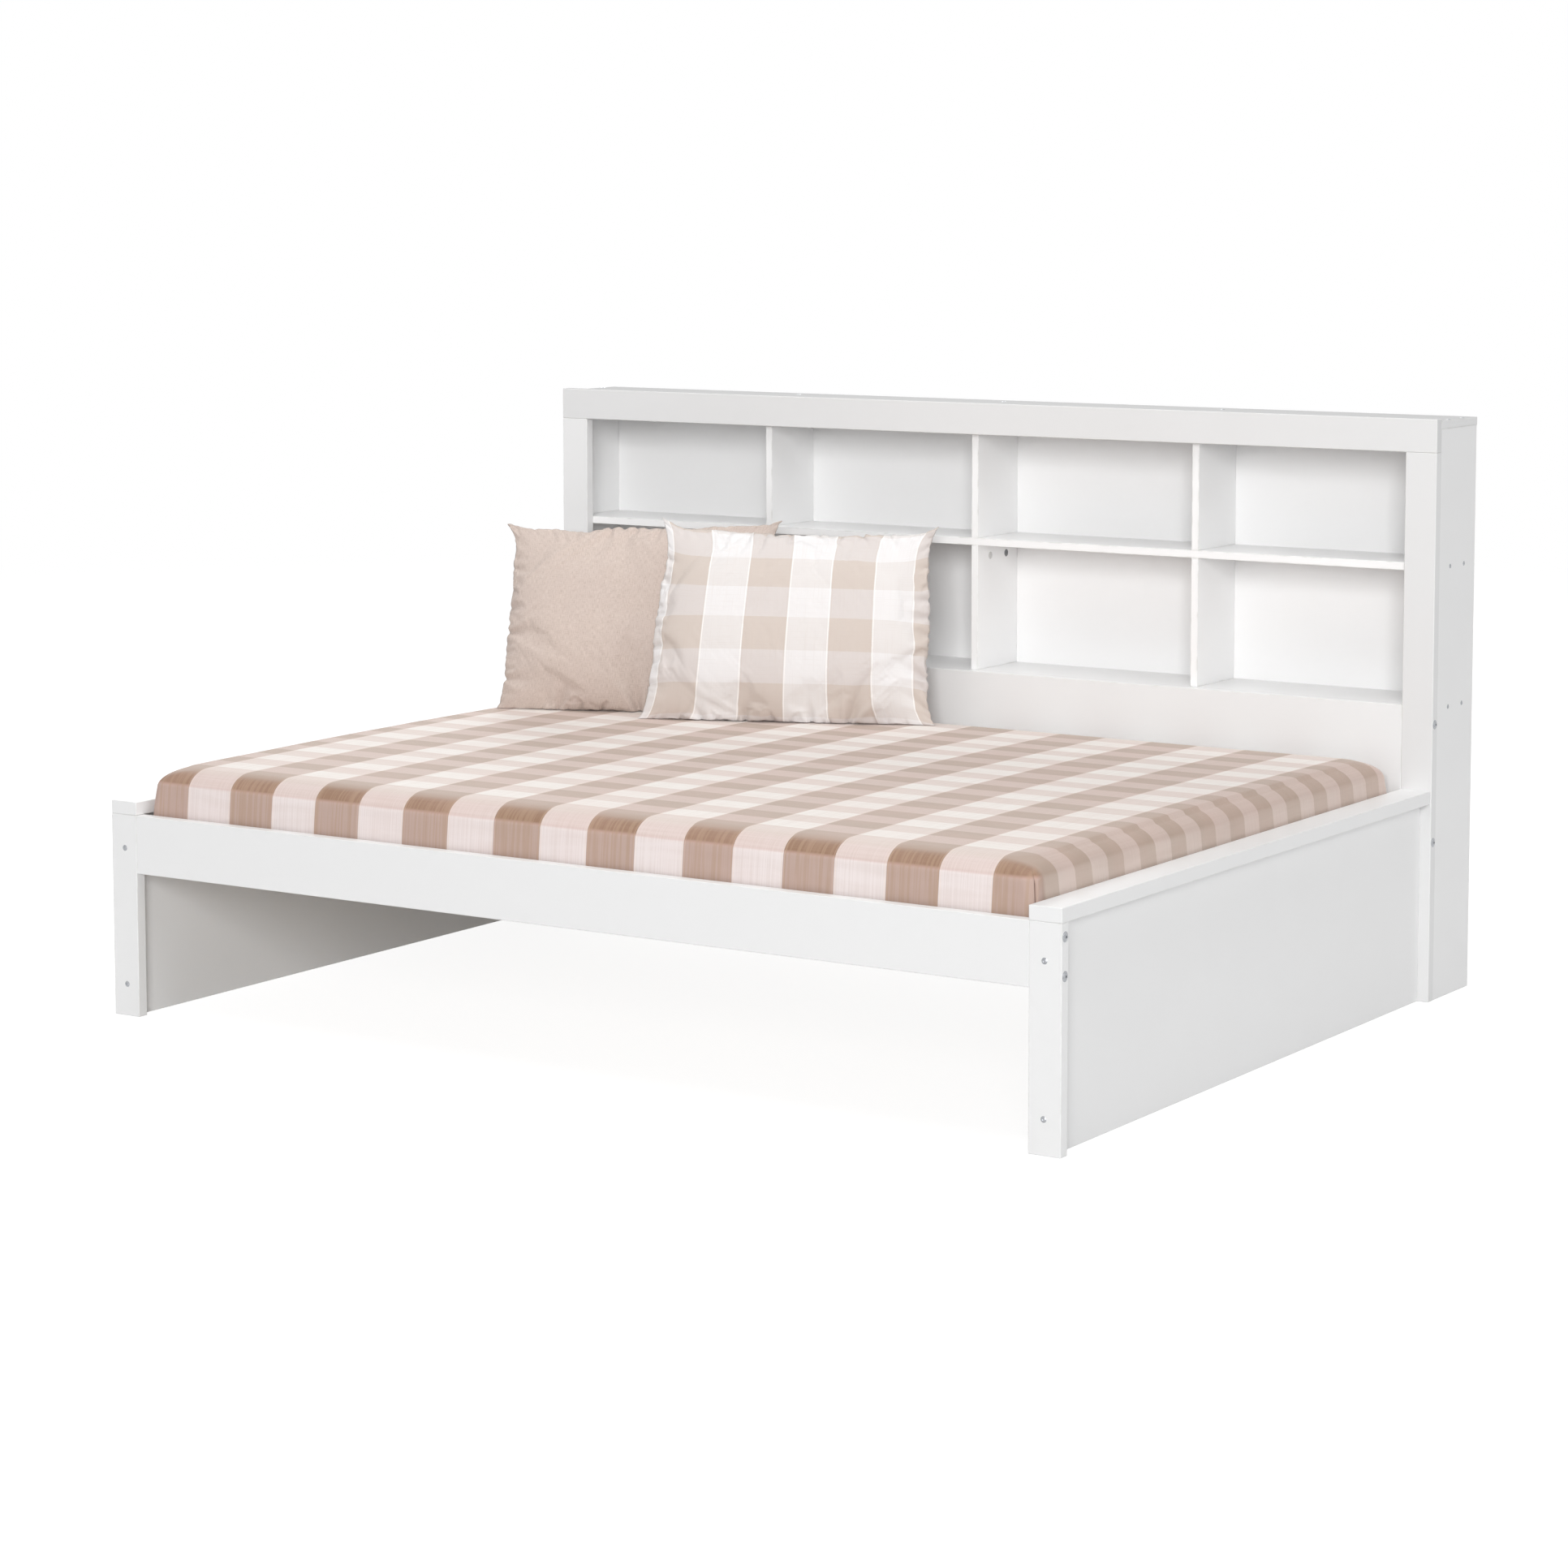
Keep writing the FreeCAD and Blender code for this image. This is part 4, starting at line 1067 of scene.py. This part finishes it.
def finer(grid: Array) -> Array:
    """Grid with a point put half way between each two, both ways.

    Args:
        grid: Points, rows by columns by 3.

    Returns:
        The finer grid.
    """
    for axis in (0, 1):
        lines = np.swapaxes(grid, 0, axis)
        dense = np.empty((2 * len(lines) - 1, *lines.shape[1:]))
        dense[::2], dense[1::2] = lines, (lines[1:] + lines[:-1]) / 2
        grid = np.swapaxes(dense, 0, axis)
    return grid


class Edge(Enum):
    """A side of a pillow's seam, by its outward direction across and up."""

    TOP = (0.0, 1.0)
    BOTTOM = (0.0, -1.0)
    LEFT = (-1.0, 0.0)
    RIGHT = (1.0, 0.0)


@dataclass(frozen=True)
class Pinch:
    """A spot where the stitches draw the seam in, and the fold that runs inward from it."""

    edge: Edge
    place: float
    depth: float
    reach: float
    skew: float


def pinches(spots: dict[Edge, tuple[tuple[float, ...], ...]]) -> tuple[Pinch, ...]:
    """Pinches from rows of place from -1 to 1, depth and reach in mm and skew in degrees."""
    return tuple(Pinch(edge, place, depth * MM, reach * MM, skew)
                 for edge, rows in spots.items() for place, depth, reach, skew in rows)


COTTON = {"quality": 4, "mass": 0.25, "tension_stiffness": 12.0, "compression_stiffness": 12.0,
          "shear_stiffness": 4.0, "bending_stiffness": 0.12, "use_pressure": True, "shrink_min": 0.0}


@dataclass
class Pillow:
    """A knife-edge pillow: two cloths sewn round their edge over a full, crowned filling.

    The filled form is worked out on a grid, its seam pinched and its folds drawn, and then
    a short cloth simulation lets the drawn seam pucker the cloth beside it.
    """

    node: str
    body: str
    slot: str
    finish: Finish
    seed: int
    foot: tuple[float, float]
    pinches: tuple[Pinch, ...]
    width: float
    ear_reach: float
    ear_rise: float
    ear_power: float
    droop: float
    height: float = 428 * MM
    thickness: float = 101 * MM
    foot_rise: float = 11 * MM
    slant: float = 0.0
    blunt: float = 6 * MM
    blunt_power: float = 40.0
    tuck: float = 15 * MM
    sag: float = 0.12
    flatness: float = 2.9
    foot_flatness: float = 2.2
    closing: float = 0.56
    top_width: float = 0.935
    taper_power: float = 1.3
    sink: float = 10 * MM
    seat_gap: float = 0.5 * MM
    soft_foot: float = 2.2 * MM
    yaw: float = 24.7
    lean: float = 14.0
    columns: int = 208
    rows: int = 144
    fold_width: float = 4.0 * MM
    fold_widening: float = 0.16
    fold_depth: float = 1.5
    fold_ridge: float = 0.4
    back_folds: float = 0.6
    folds_from: float = 0.2
    thinnest: float = 0.25
    pull: float = 0.9
    pull_reach: float = 12 * MM
    small_pitch: float = 36 * MM
    pressure: float = 0.35
    seam_shrink: float = 0.08
    frames: int = 9
    most_moved: float = 6 * MM
    calm_middle: float = 0.35
    crowding: float = 0.2
    fold_power: float = 1.4
    ridge_off: float = 2.1
    pull_width: float = 1.4
    small_span: float = 0.9
    small_stray: float = 0.35
    small_depth: tuple[float, float] = (1.2, 3.2)
    small_reach: tuple[float, float] = (10, 30)
    small_skew: float = 28

    def build(self, form: MattressForm) -> None:
        """Args:
            form: The bedding that it stands on.
        """
        front, back, cloth = self.sew()
        front, back = self.pucker(front, back)
        points, faces, number, behind = weld(front, back)
        placed = self.place(points, form)
        of_point = np.empty((len(points), 2))
        of_point[number], of_point[behind] = cloth, cloth
        piece = mesh_piece(self.node + "_cover", placed, faces, of_point)
        piece.data.materials.append(self.finish.material())
        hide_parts(self.node)
        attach(piece, self.body)
        low, high = placed.min(axis=0), placed.max(axis=0)
        log.info("%s: %s to %s", self.node, np.round(low, 3), np.round(high, 3))

    def full(self, share: Array, below: bool = False) -> Array:
        """Share of the thickness at a share of the way to the seam, rounder below, where the foot is."""
        power = np.where(below & (share < 0), self.foot_flatness, self.flatness)
        return np.clip(1 - np.abs(share) ** power, 0, 1) ** self.closing

    def sew(self) -> tuple[Array, Array, Array]:
        """The filled form: front and back grids that meet along their seam.

        The outline is drawn in between its four ears by 1 minus a high power of the way to
        the corner. The thickness is the product of the two directions' fullness, more below
        than above, less a valley and plus a ridge each side of it at every fold. The foot's
        seam is tucked back by a cubic.

        Returns:
            Front and back points about the pillow's middle and the cloth coordinates, each
            rows by columns.
        """
        s, t = self.crowd(self.columns), self.crowd(self.rows)
        across, up = np.meshgrid(s, t)
        taper = self.top_width + (1 - self.top_width) * ((1 - up) / 2) ** self.taper_power
        rise = np.where(up > 0, self.ear_rise, self.foot_rise)
        tip = self.blunt * np.abs(across * up) ** self.blunt_power
        x = across * (self.width / 2 * taper - self.ear_reach * (1 - np.abs(up) ** self.ear_power) - tip)
        z = up * (self.height / 2 - rise * (1 - np.abs(across) ** self.ear_power) - tip)
        x = x + self.slant * (up + 1) / 2
        z = z - self.droop * (1 - across) / 2 * (up + 1) / 2
        thick = self.thickness / 2 * self.full(across) * self.full(up, True) * (1 - self.sag * up)
        gate = np.clip(thick / (self.folds_from * self.thickness), 0, 1)
        folds, pull_x, pull_z = self.draw_folds(across * self.width / 2, up * self.height / 2)
        x, z = x + pull_x, z + pull_z
        middle = self.tuck * np.clip(-up, 0, 1) ** 3
        folds, least = folds * gate, self.thinnest * thick
        front = np.stack([x, middle - np.maximum(thick + folds, least), z], axis=-1)
        back = np.stack([x, middle + np.maximum(thick + self.back_folds * folds, least), z], axis=-1)
        cloth = np.meshgrid(self.cloth_length(s, self.width, False),
                            self.cloth_length(t, self.height, True))
        return front, back, np.stack(cloth, axis=-1)

    def crowd(self, count: int) -> Array:
        """Grid lines from -1 to 1 that crowd towards both ends, by a cubic."""
        even = np.linspace(-1, 1, count + 1)
        return (1 + self.crowding) * even - self.crowding * even ** 3

    def cloth_length(self, share: Array, size: float, below: bool) -> Array:
        """Length of cloth from the middle to each grid line, over the crown.

        Args:
            share: The grid lines, -1 to 1.
            size: Size of the pillow in that direction.
            below: Whether the negative half is the foot.

        Returns:
            Signed length in metres at each line.
        """
        step = np.hypot(np.diff(share) * size / 2, np.diff(self.full(share, below)) * self.thickness / 2)
        length = np.concatenate([[0.0], np.cumsum(step)])
        return length - length[-1] / 2

    def draw_folds(self, x: Array, z: Array) -> tuple[Array, Array, Array]:
        """Folds that run in from the pinches, and how far the seam is drawn in at each.

        Across a fold its depth is a Gaussian with a ridge each side, and along it the depth
        dies away and the fold widens.

        Args:
            x: Place across the flat pillow.
            z: Place up it.

        Returns:
            Change of thickness, and the shifts across and up.
        """
        folds, pull_x, pull_z = (np.zeros_like(x) for _ in range(3))
        size = np.array([self.width, self.height]) / 2
        for pinch in (*self.pinches, *self.small_pinches()):
            out = np.array(pinch.edge.value)
            start = size * (out + pinch.place * np.abs(out[::-1]))
            turn = math.radians(pinch.skew)
            inward = -np.array([out[0] * math.cos(turn) - out[1] * math.sin(turn),
                                out[0] * math.sin(turn) + out[1] * math.cos(turn)])
            run = np.clip((x - start[0]) * inward[0] + (z - start[1]) * inward[1], 0, None)
            off = np.abs((z - start[1]) * inward[0] - (x - start[0]) * inward[1])
            wide = self.fold_width * min(1.0, pinch.depth / self.fold_width) + self.fold_widening * run
            fade = self.fold_depth * pinch.depth * np.exp(-(run / pinch.reach) ** self.fold_power)
            ridge = self.fold_ridge * np.exp(-((off - self.ridge_off * wide) / wide) ** 2)
            folds += fade * (ridge - np.exp(-(off / wide) ** self.fold_power))
            near = np.exp(-(off / (self.pull_width * self.fold_width)) ** 2 - run / self.pull_reach)
            pull_x += inward[0] * self.pull * pinch.depth * near
            pull_z += inward[1] * self.pull * pinch.depth * near
        return folds, pull_x, pull_z

    def small_pinches(self) -> list[Pinch]:
        """Small uneven pinches all round the seam, from the seed.

        Returns:
            The pinches, edge by edge.
        """
        chance = np.random.default_rng(self.seed)
        found = []
        for edge in Edge:
            length = self.height if edge in (Edge.LEFT, Edge.RIGHT) else self.width
            count = round(length / self.small_pitch)
            stray = chance.uniform(-self.small_stray, self.small_stray, count) * 2 / count
            for place in np.linspace(-self.small_span, self.small_span, count) + stray:
                found.append(Pinch(edge, float(place), float(chance.uniform(*self.small_depth)) * MM,
                                   float(chance.uniform(*self.small_reach)) * MM,
                                   float(chance.uniform(-self.small_skew, self.small_skew))))
        return found

    def pucker(self, front: Array, back: Array) -> tuple[Array, Array]:
        """Lets the drawn seam pucker the cloth, by a simulation on every second grid line.

        The cloth has light pressure, no gravity and a seam that is drawn tighter than it.
        What it moves as a whole, by the best affine map, is left out, and what is left is
        capped, weakened towards the taut middle and added to the grids.

        Args:
            front: Front points.
            back: Back points.

        Returns:
            Both grids, puckered.
        """
        coarse_front, coarse_back = front[::2, ::2], back[::2, ::2]
        before, faces, number, behind = weld(coarse_front, coarse_back)
        piece = mesh_piece(self.node + "_trial", before, faces)
        seam = np.flatnonzero(np.isin(np.arange(len(before)), number[number == behind]))
        group = piece.vertex_groups.new(name="seam")
        group.add(seam.tolist(), 1.0, "REPLACE")
        modifier = piece.modifiers.new("cloth", "CLOTH")
        for setting, value in (*COTTON.items(), ("uniform_pressure_force", self.pressure),
                               ("vertex_group_shrink", "seam"), ("shrink_max", self.seam_shrink)):
            setattr(modifier.settings, setting, value)
        modifier.settings.effector_weights.gravity = 0.0
        modifier.collision_settings.use_collision = False
        modifier.point_cache.frame_end = self.frames
        scene = bpy.context.scene
        for frame_number in range(1, self.frames + 1):
            scene.frame_set(frame_number)
        result = piece.evaluated_get(bpy.context.evaluated_depsgraph_get()).to_mesh()
        after = np.empty(len(result.vertices) * 3, dtype=np.float32)
        result.vertices.foreach_get("co", after)
        after = after.reshape(-1, 3).astype(float)
        bpy.data.objects.remove(piece)
        scene.frame_set(1)
        frame_of = np.column_stack([before, np.ones(len(before))])
        moved = after - frame_of @ np.linalg.lstsq(frame_of, after, rcond=None)[0]
        far = np.linalg.norm(moved, axis=1, keepdims=True)
        log.info("%s: cloth moved %.1f mm on average, %.1f at most", self.node,
                 float(far.mean()) / MM, float(far.max()) / MM)
        moved *= np.minimum(1.0, self.most_moved / np.maximum(far, TINY))
        across, up = np.meshgrid(self.crowd(self.columns), self.crowd(self.rows))
        share = 1 - (1 - self.calm_middle) * self.full(across) * self.full(up, True)
        return (front + finer(moved[number]) * share[..., None],
                back + finer(moved[behind]) * share[..., None])

    def place(self, points: Array, form: MattressForm) -> Array:
        """Leans the pillow back, turns it to the open corner and lets its foot flatten on the sheet.

        Args:
            points: Pillow about its middle.
            form: The bedding, whose crown the foot follows.

        Returns:
            Points in the bed's frame.
        """
        standing = points + np.array([0.0, 0.0, self.height / 2])
        lean = Matrix.Rotation(math.radians(-self.lean), 3, "X")
        turn = Matrix.Rotation(math.radians(self.yaw), 3, "Z")
        moved = standing @ np.array(turn @ lean).T
        moved[:, :2] += np.array(self.foot)
        off = moved[:, 1] / ((form.high[1] - form.low[1]) / 2)
        ground = form.high[2] - form.edge_drop + form.crown * (1 - np.clip(off, -1, 1) ** 2) + self.seat_gap
        above = moved[:, 2] - moved[:, 2].min() - self.sink
        moved[:, 2] = ground + self.soft_foot * np.logaddexp(0.0, above / self.soft_foot)
        return moved


CHECK_PINCHES = pinches({
    Edge.BOTTOM: ((-0.525, 11.0, 24, 48.0), (-0.265, 11.0, 22, 0.0), (0.18, 10.0, 26, 8.0),
                  (0.41, 9.5, 55, -30.0)),
    Edge.TOP: ((-0.82, 3.5, 22, -20.0), (0.15, 6.5, 26, 40.0), (0.445, 7.5, 28, 42.0),
               (0.64, 5.5, 42, 40.0), (0.83, 4.5, 26, 62.0)),
    Edge.RIGHT: ((0.26, 4.5, 22, 0.0), (0.10, 5.0, 28, 12.0), (-0.07, 3.5, 20, -10.0),
                 (-0.51, 9.5, 38, -24.0), (-0.80, 4.0, 58, -26.0)),
    Edge.LEFT: ((0.58, 4.5, 18, 0.0), (0.39, 5.0, 22, -14.0), (0.04, 4.5, 20, 10.0),
                (-0.26, 4.5, 18, 0.0), (-0.63, 4.5, 24, -12.0)),
})
LINEN_PINCHES = pinches({
    Edge.LEFT: ((0.83, 4.5, 20, -20.0), (0.50, 3.5, 18, 0.0), (0.08, 4.5, 20, 8.0),
                (-0.17, 6.5, 44, -4.0), (-0.64, 7.5, 40, -8.0)),
    Edge.TOP: ((-0.22, 6.5, 28, -28.0), (-0.13, 4.5, 44, 4.0), (-0.04, 6.0, 26, -32.0),
               (0.89, 4.5, 18, 20.0)),
    Edge.BOTTOM: ((-0.55, 10.0, 30, -6.0), (0.02, 12.0, 58, 9.0), (0.5, 6.0, 30, -14.0)),
    Edge.RIGHT: ((0.4, 5.0, 30, 10.0), (-0.3, 6.0, 36, -10.0)),
})


# ---------------------------------------------------------------- hard pieces
@dataclass
class HardPieces:
    """Boards, slatted base and fasteners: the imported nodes, each with its own finish."""

    upright: tuple[str, ...] = ("post_", "stile_", "side_panel_", "divider_")
    inside: tuple[str, ...] = ("back_panel", "shelf_middle", "divider_", "side_panel_left")
    # Painted light: the boards inside the cubbies are painted whiter where the lamps reach them less.
    painted_light_white: float = 0.90
    plain: float = 0.80
    # Painted shade: the boards that face the key lamp, and the level faces on top of the case, are painted
    # darker.
    painted_shade_white: float = 0.72
    dull: float = 0.60
    facing: tuple[str, ...] = ("stile_right", "top_rail")
    on_top: tuple[str, ...] = ("top_board", "top_rail")

    def build(self) -> None:
        """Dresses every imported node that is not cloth."""
        slats = Softwood("softwood_slats", Axis.Y).material()
        rails = Softwood("softwood_rails", Axis.X).material()
        pins = Softwood("beech_dowels", Axis.Z, pale=(0.66, 0.47, 0.29), dark=(0.50, 0.33, 0.19)).material()
        low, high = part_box("shelf_cam_locks")
        shared = {"zinc_steel": PlatedSteel("zinc_plated_steel").material(),
                  "webbing": Webbing("slat_webbing").material(),
                  "cast_zinc": CamMetal("cam_zinc", (low[1] + high[1]) / 2).material()}
        for part in frame["record"]["subparts"]:
            name, slot = part["node"], part["material_slot"]
            material = shared.get(slot)
            if slot == "white_paint":
                material = self.paint(name).material()
            elif slot == "slat_wood":
                material = slats if name.startswith("slat_") else rails
                material = pins if name.endswith("dowels") else material
            if material:
                for place in frame["nodes"][name].material_slots:
                    place.material = material
        log.info("hard pieces: %d nodes", len(frame["nodes"]))

    def paint(self, name: str) -> BoardPaint:
        """Paint of one board; the level faces on top of the case are painted darker as painted shade and
        don't shine.

        Args:
            name: The board's node.

        Returns:
            Its paint.
        """
        paint = BoardPaint(name, self.grain(name), self.white(name))
        if name in self.on_top:
            return replace(paint, gloss=0.0, coat=0.0, level_shade_white=self.dull)
        return paint

    def white(self, name: str) -> float:
        """How white the board is painted: whiter inside the cubbies as painted light, darker as painted
        shade where it faces the light.

        Args:
            name: The board's node.

        Returns:
            Its linear white.
        """
        if name in self.facing:
            return self.painted_shade_white
        return self.painted_light_white if name.startswith(self.inside) else self.plain

    def grain(self, name: str) -> Axis:
        """Direction of the board's length.

        Args:
            name: The board's node.

        Returns:
            The axis along it.
        """
        if name.startswith(self.upright):
            return Axis.Z
        return Axis.Y if name.startswith(("end_panel", "cap_rail")) else Axis.X


# ---------------------------------------------------------------- studio
@dataclass(frozen=True)
class Lamp:
    """A soft square lamp that looks at the bed."""

    name: str
    place: Triple
    size: float
    watts: float

    def build(self, target: Array) -> None:
        """Adds the lamp, facing the target.

        Args:
            target: Middle of the bed.
        """
        light = bpy.data.lights.new(self.name, "AREA")
        light.shape, light.size, light.energy = "SQUARE", self.size, self.watts
        lamp = bpy.data.objects.new(self.name, light)
        lamp.location = self.place
        lamp.visible_camera = False
        away = Matrix.Translation(self.place).translation - Matrix.Translation(target).translation
        lamp.rotation_euler = away.to_track_quat("Z", "Y").to_euler()
        bpy.context.scene.collection.objects.link(lamp)


@dataclass
class Studio:
    """Camera, floor, world and lamps."""

    eye: Triple = (4.00073, -6.16627, 1.55249)
    azimuth: float = 32.8035
    pitch: float = -5.8227
    lens: float = 90.026
    shift: tuple[float, float] = (-0.0191, -0.13)
    sensor: float = 36.0
    floor_half: float = 30.0
    floor_white: float = 0.70
    floor_roughness: float = 0.8
    clip_end: float = 200.0
    world_light: float = 0.21
    floor_shown: tuple[float, float] = (0.68, 1.32)
    floor_fade: tuple[float, float] = (3.0, 9.0)
    lamps: tuple[Lamp, ...] = (
        Lamp("key", (7.6, -14.1, 4.8), 5.5, 1610.0),
        Lamp("side", (14.0, -0.5, 5.0), 7.0, 335.0),
        Lamp("above", (0.0, -0.8, 5.0), 4.0, 146.0),
        Lamp("behind", (-6.0, 9.0, 6.0), 6.0, 400.0),
    )

    def build(self) -> None:
        """Sets up everything round the bed."""
        bpy.context.scene.view_settings.view_transform = "Standard"
        self.make_camera()
        self.make_world()
        self.make_floor()
        low, high = (np.array(corner) for corner in CAD_BOX)
        for lamp in self.lamps:
            lamp.build((low + high) / 2)

    def make_camera(self) -> None:
        """The photograph's view."""
        data = bpy.data.cameras.new("camera")
        data.sensor_width, data.lens = self.sensor, self.lens
        data.shift_x, data.shift_y = self.shift
        data.clip_end = self.clip_end
        camera = bpy.data.objects.new("camera", data)
        camera.location = self.eye
        camera.rotation_euler = (math.radians(90 + self.pitch), 0.0, math.radians(self.azimuth))
        bpy.context.scene.collection.objects.link(camera)
        bpy.context.scene.camera = camera

    def make_world(self) -> None:
        """Even light all round, seen as plain white."""
        graph = Graph("studio", is_world=True)
        strength = graph.add("MapRange", graph.seen(), 0.0, 1.0, self.world_light, 1.0).outputs[0]
        graph.feed(graph.shader.inputs["Strength"], strength)
        graph.feed(graph.shader.inputs["Color"], WHITE)
        bpy.context.scene.world = graph.owner

    def make_floor(self) -> None:
        """A white floor that keeps a faint shadow near the bed and is plain white further off."""
        half = self.floor_half
        corners = np.array([(-half, -half, 0), (half, -half, 0), (half, half, 0), (-half, half, 0)])
        floor = mesh_piece("floor", corners, [(0, 1, 2, 3)])
        graph = Graph("floor_white")
        graph.finish((self.floor_white,) * 3, self.floor_roughness)
        away = graph.add("VectorMath", graph.place(), operation="LENGTH").outputs["Value"]
        share, strength = (graph.ramp(away, *self.floor_fade, near, 1.0) for near in self.floor_shown)
        glow = graph.add("Emission", WHITE, strength)
        blend = graph.add("MixShader", graph.times(graph.seen(), share),
                          graph.shader.outputs[0], glow.outputs[0])
        graph.feed(graph.tree.nodes["Material Output"].inputs[0], blend.outputs[0])
        floor.data.materials.append(graph.owner)


def main() -> None:
    """Builds the bed's looks in order."""
    logging.basicConfig(level=logging.INFO, format="%(name)s: %(message)s")
    Studio().build()
    HardPieces().build()
    bedding = Bedding()
    bedding.build()
    linen = Pillow("pillow_linen", "rear_pillow", "linen", PillowLinen(), seed=11,
                   foot=(-0.6115, 0.3183), pinches=LINEN_PINCHES, width=617 * MM, height=424 * MM,
                   top_width=0.965,
                   ear_reach=31 * MM, ear_rise=24 * MM, ear_power=5.5, droop=17 * MM)
    check = Pillow("pillow_check", "front_pillow", "check_cotton", PillowCheck(), seed=5,
                   foot=(-0.2715, 0.3523), pinches=CHECK_PINCHES, width=626 * MM,
                   ear_reach=26 * MM, ear_rise=35 * MM,
                   foot_rise=14 * MM, ear_power=6.2, slant=16 * MM, droop=-8 * MM)
    for pillow in (linen, check):
        pillow.build(bedding.form())


if __name__ == "__main__":
    main()
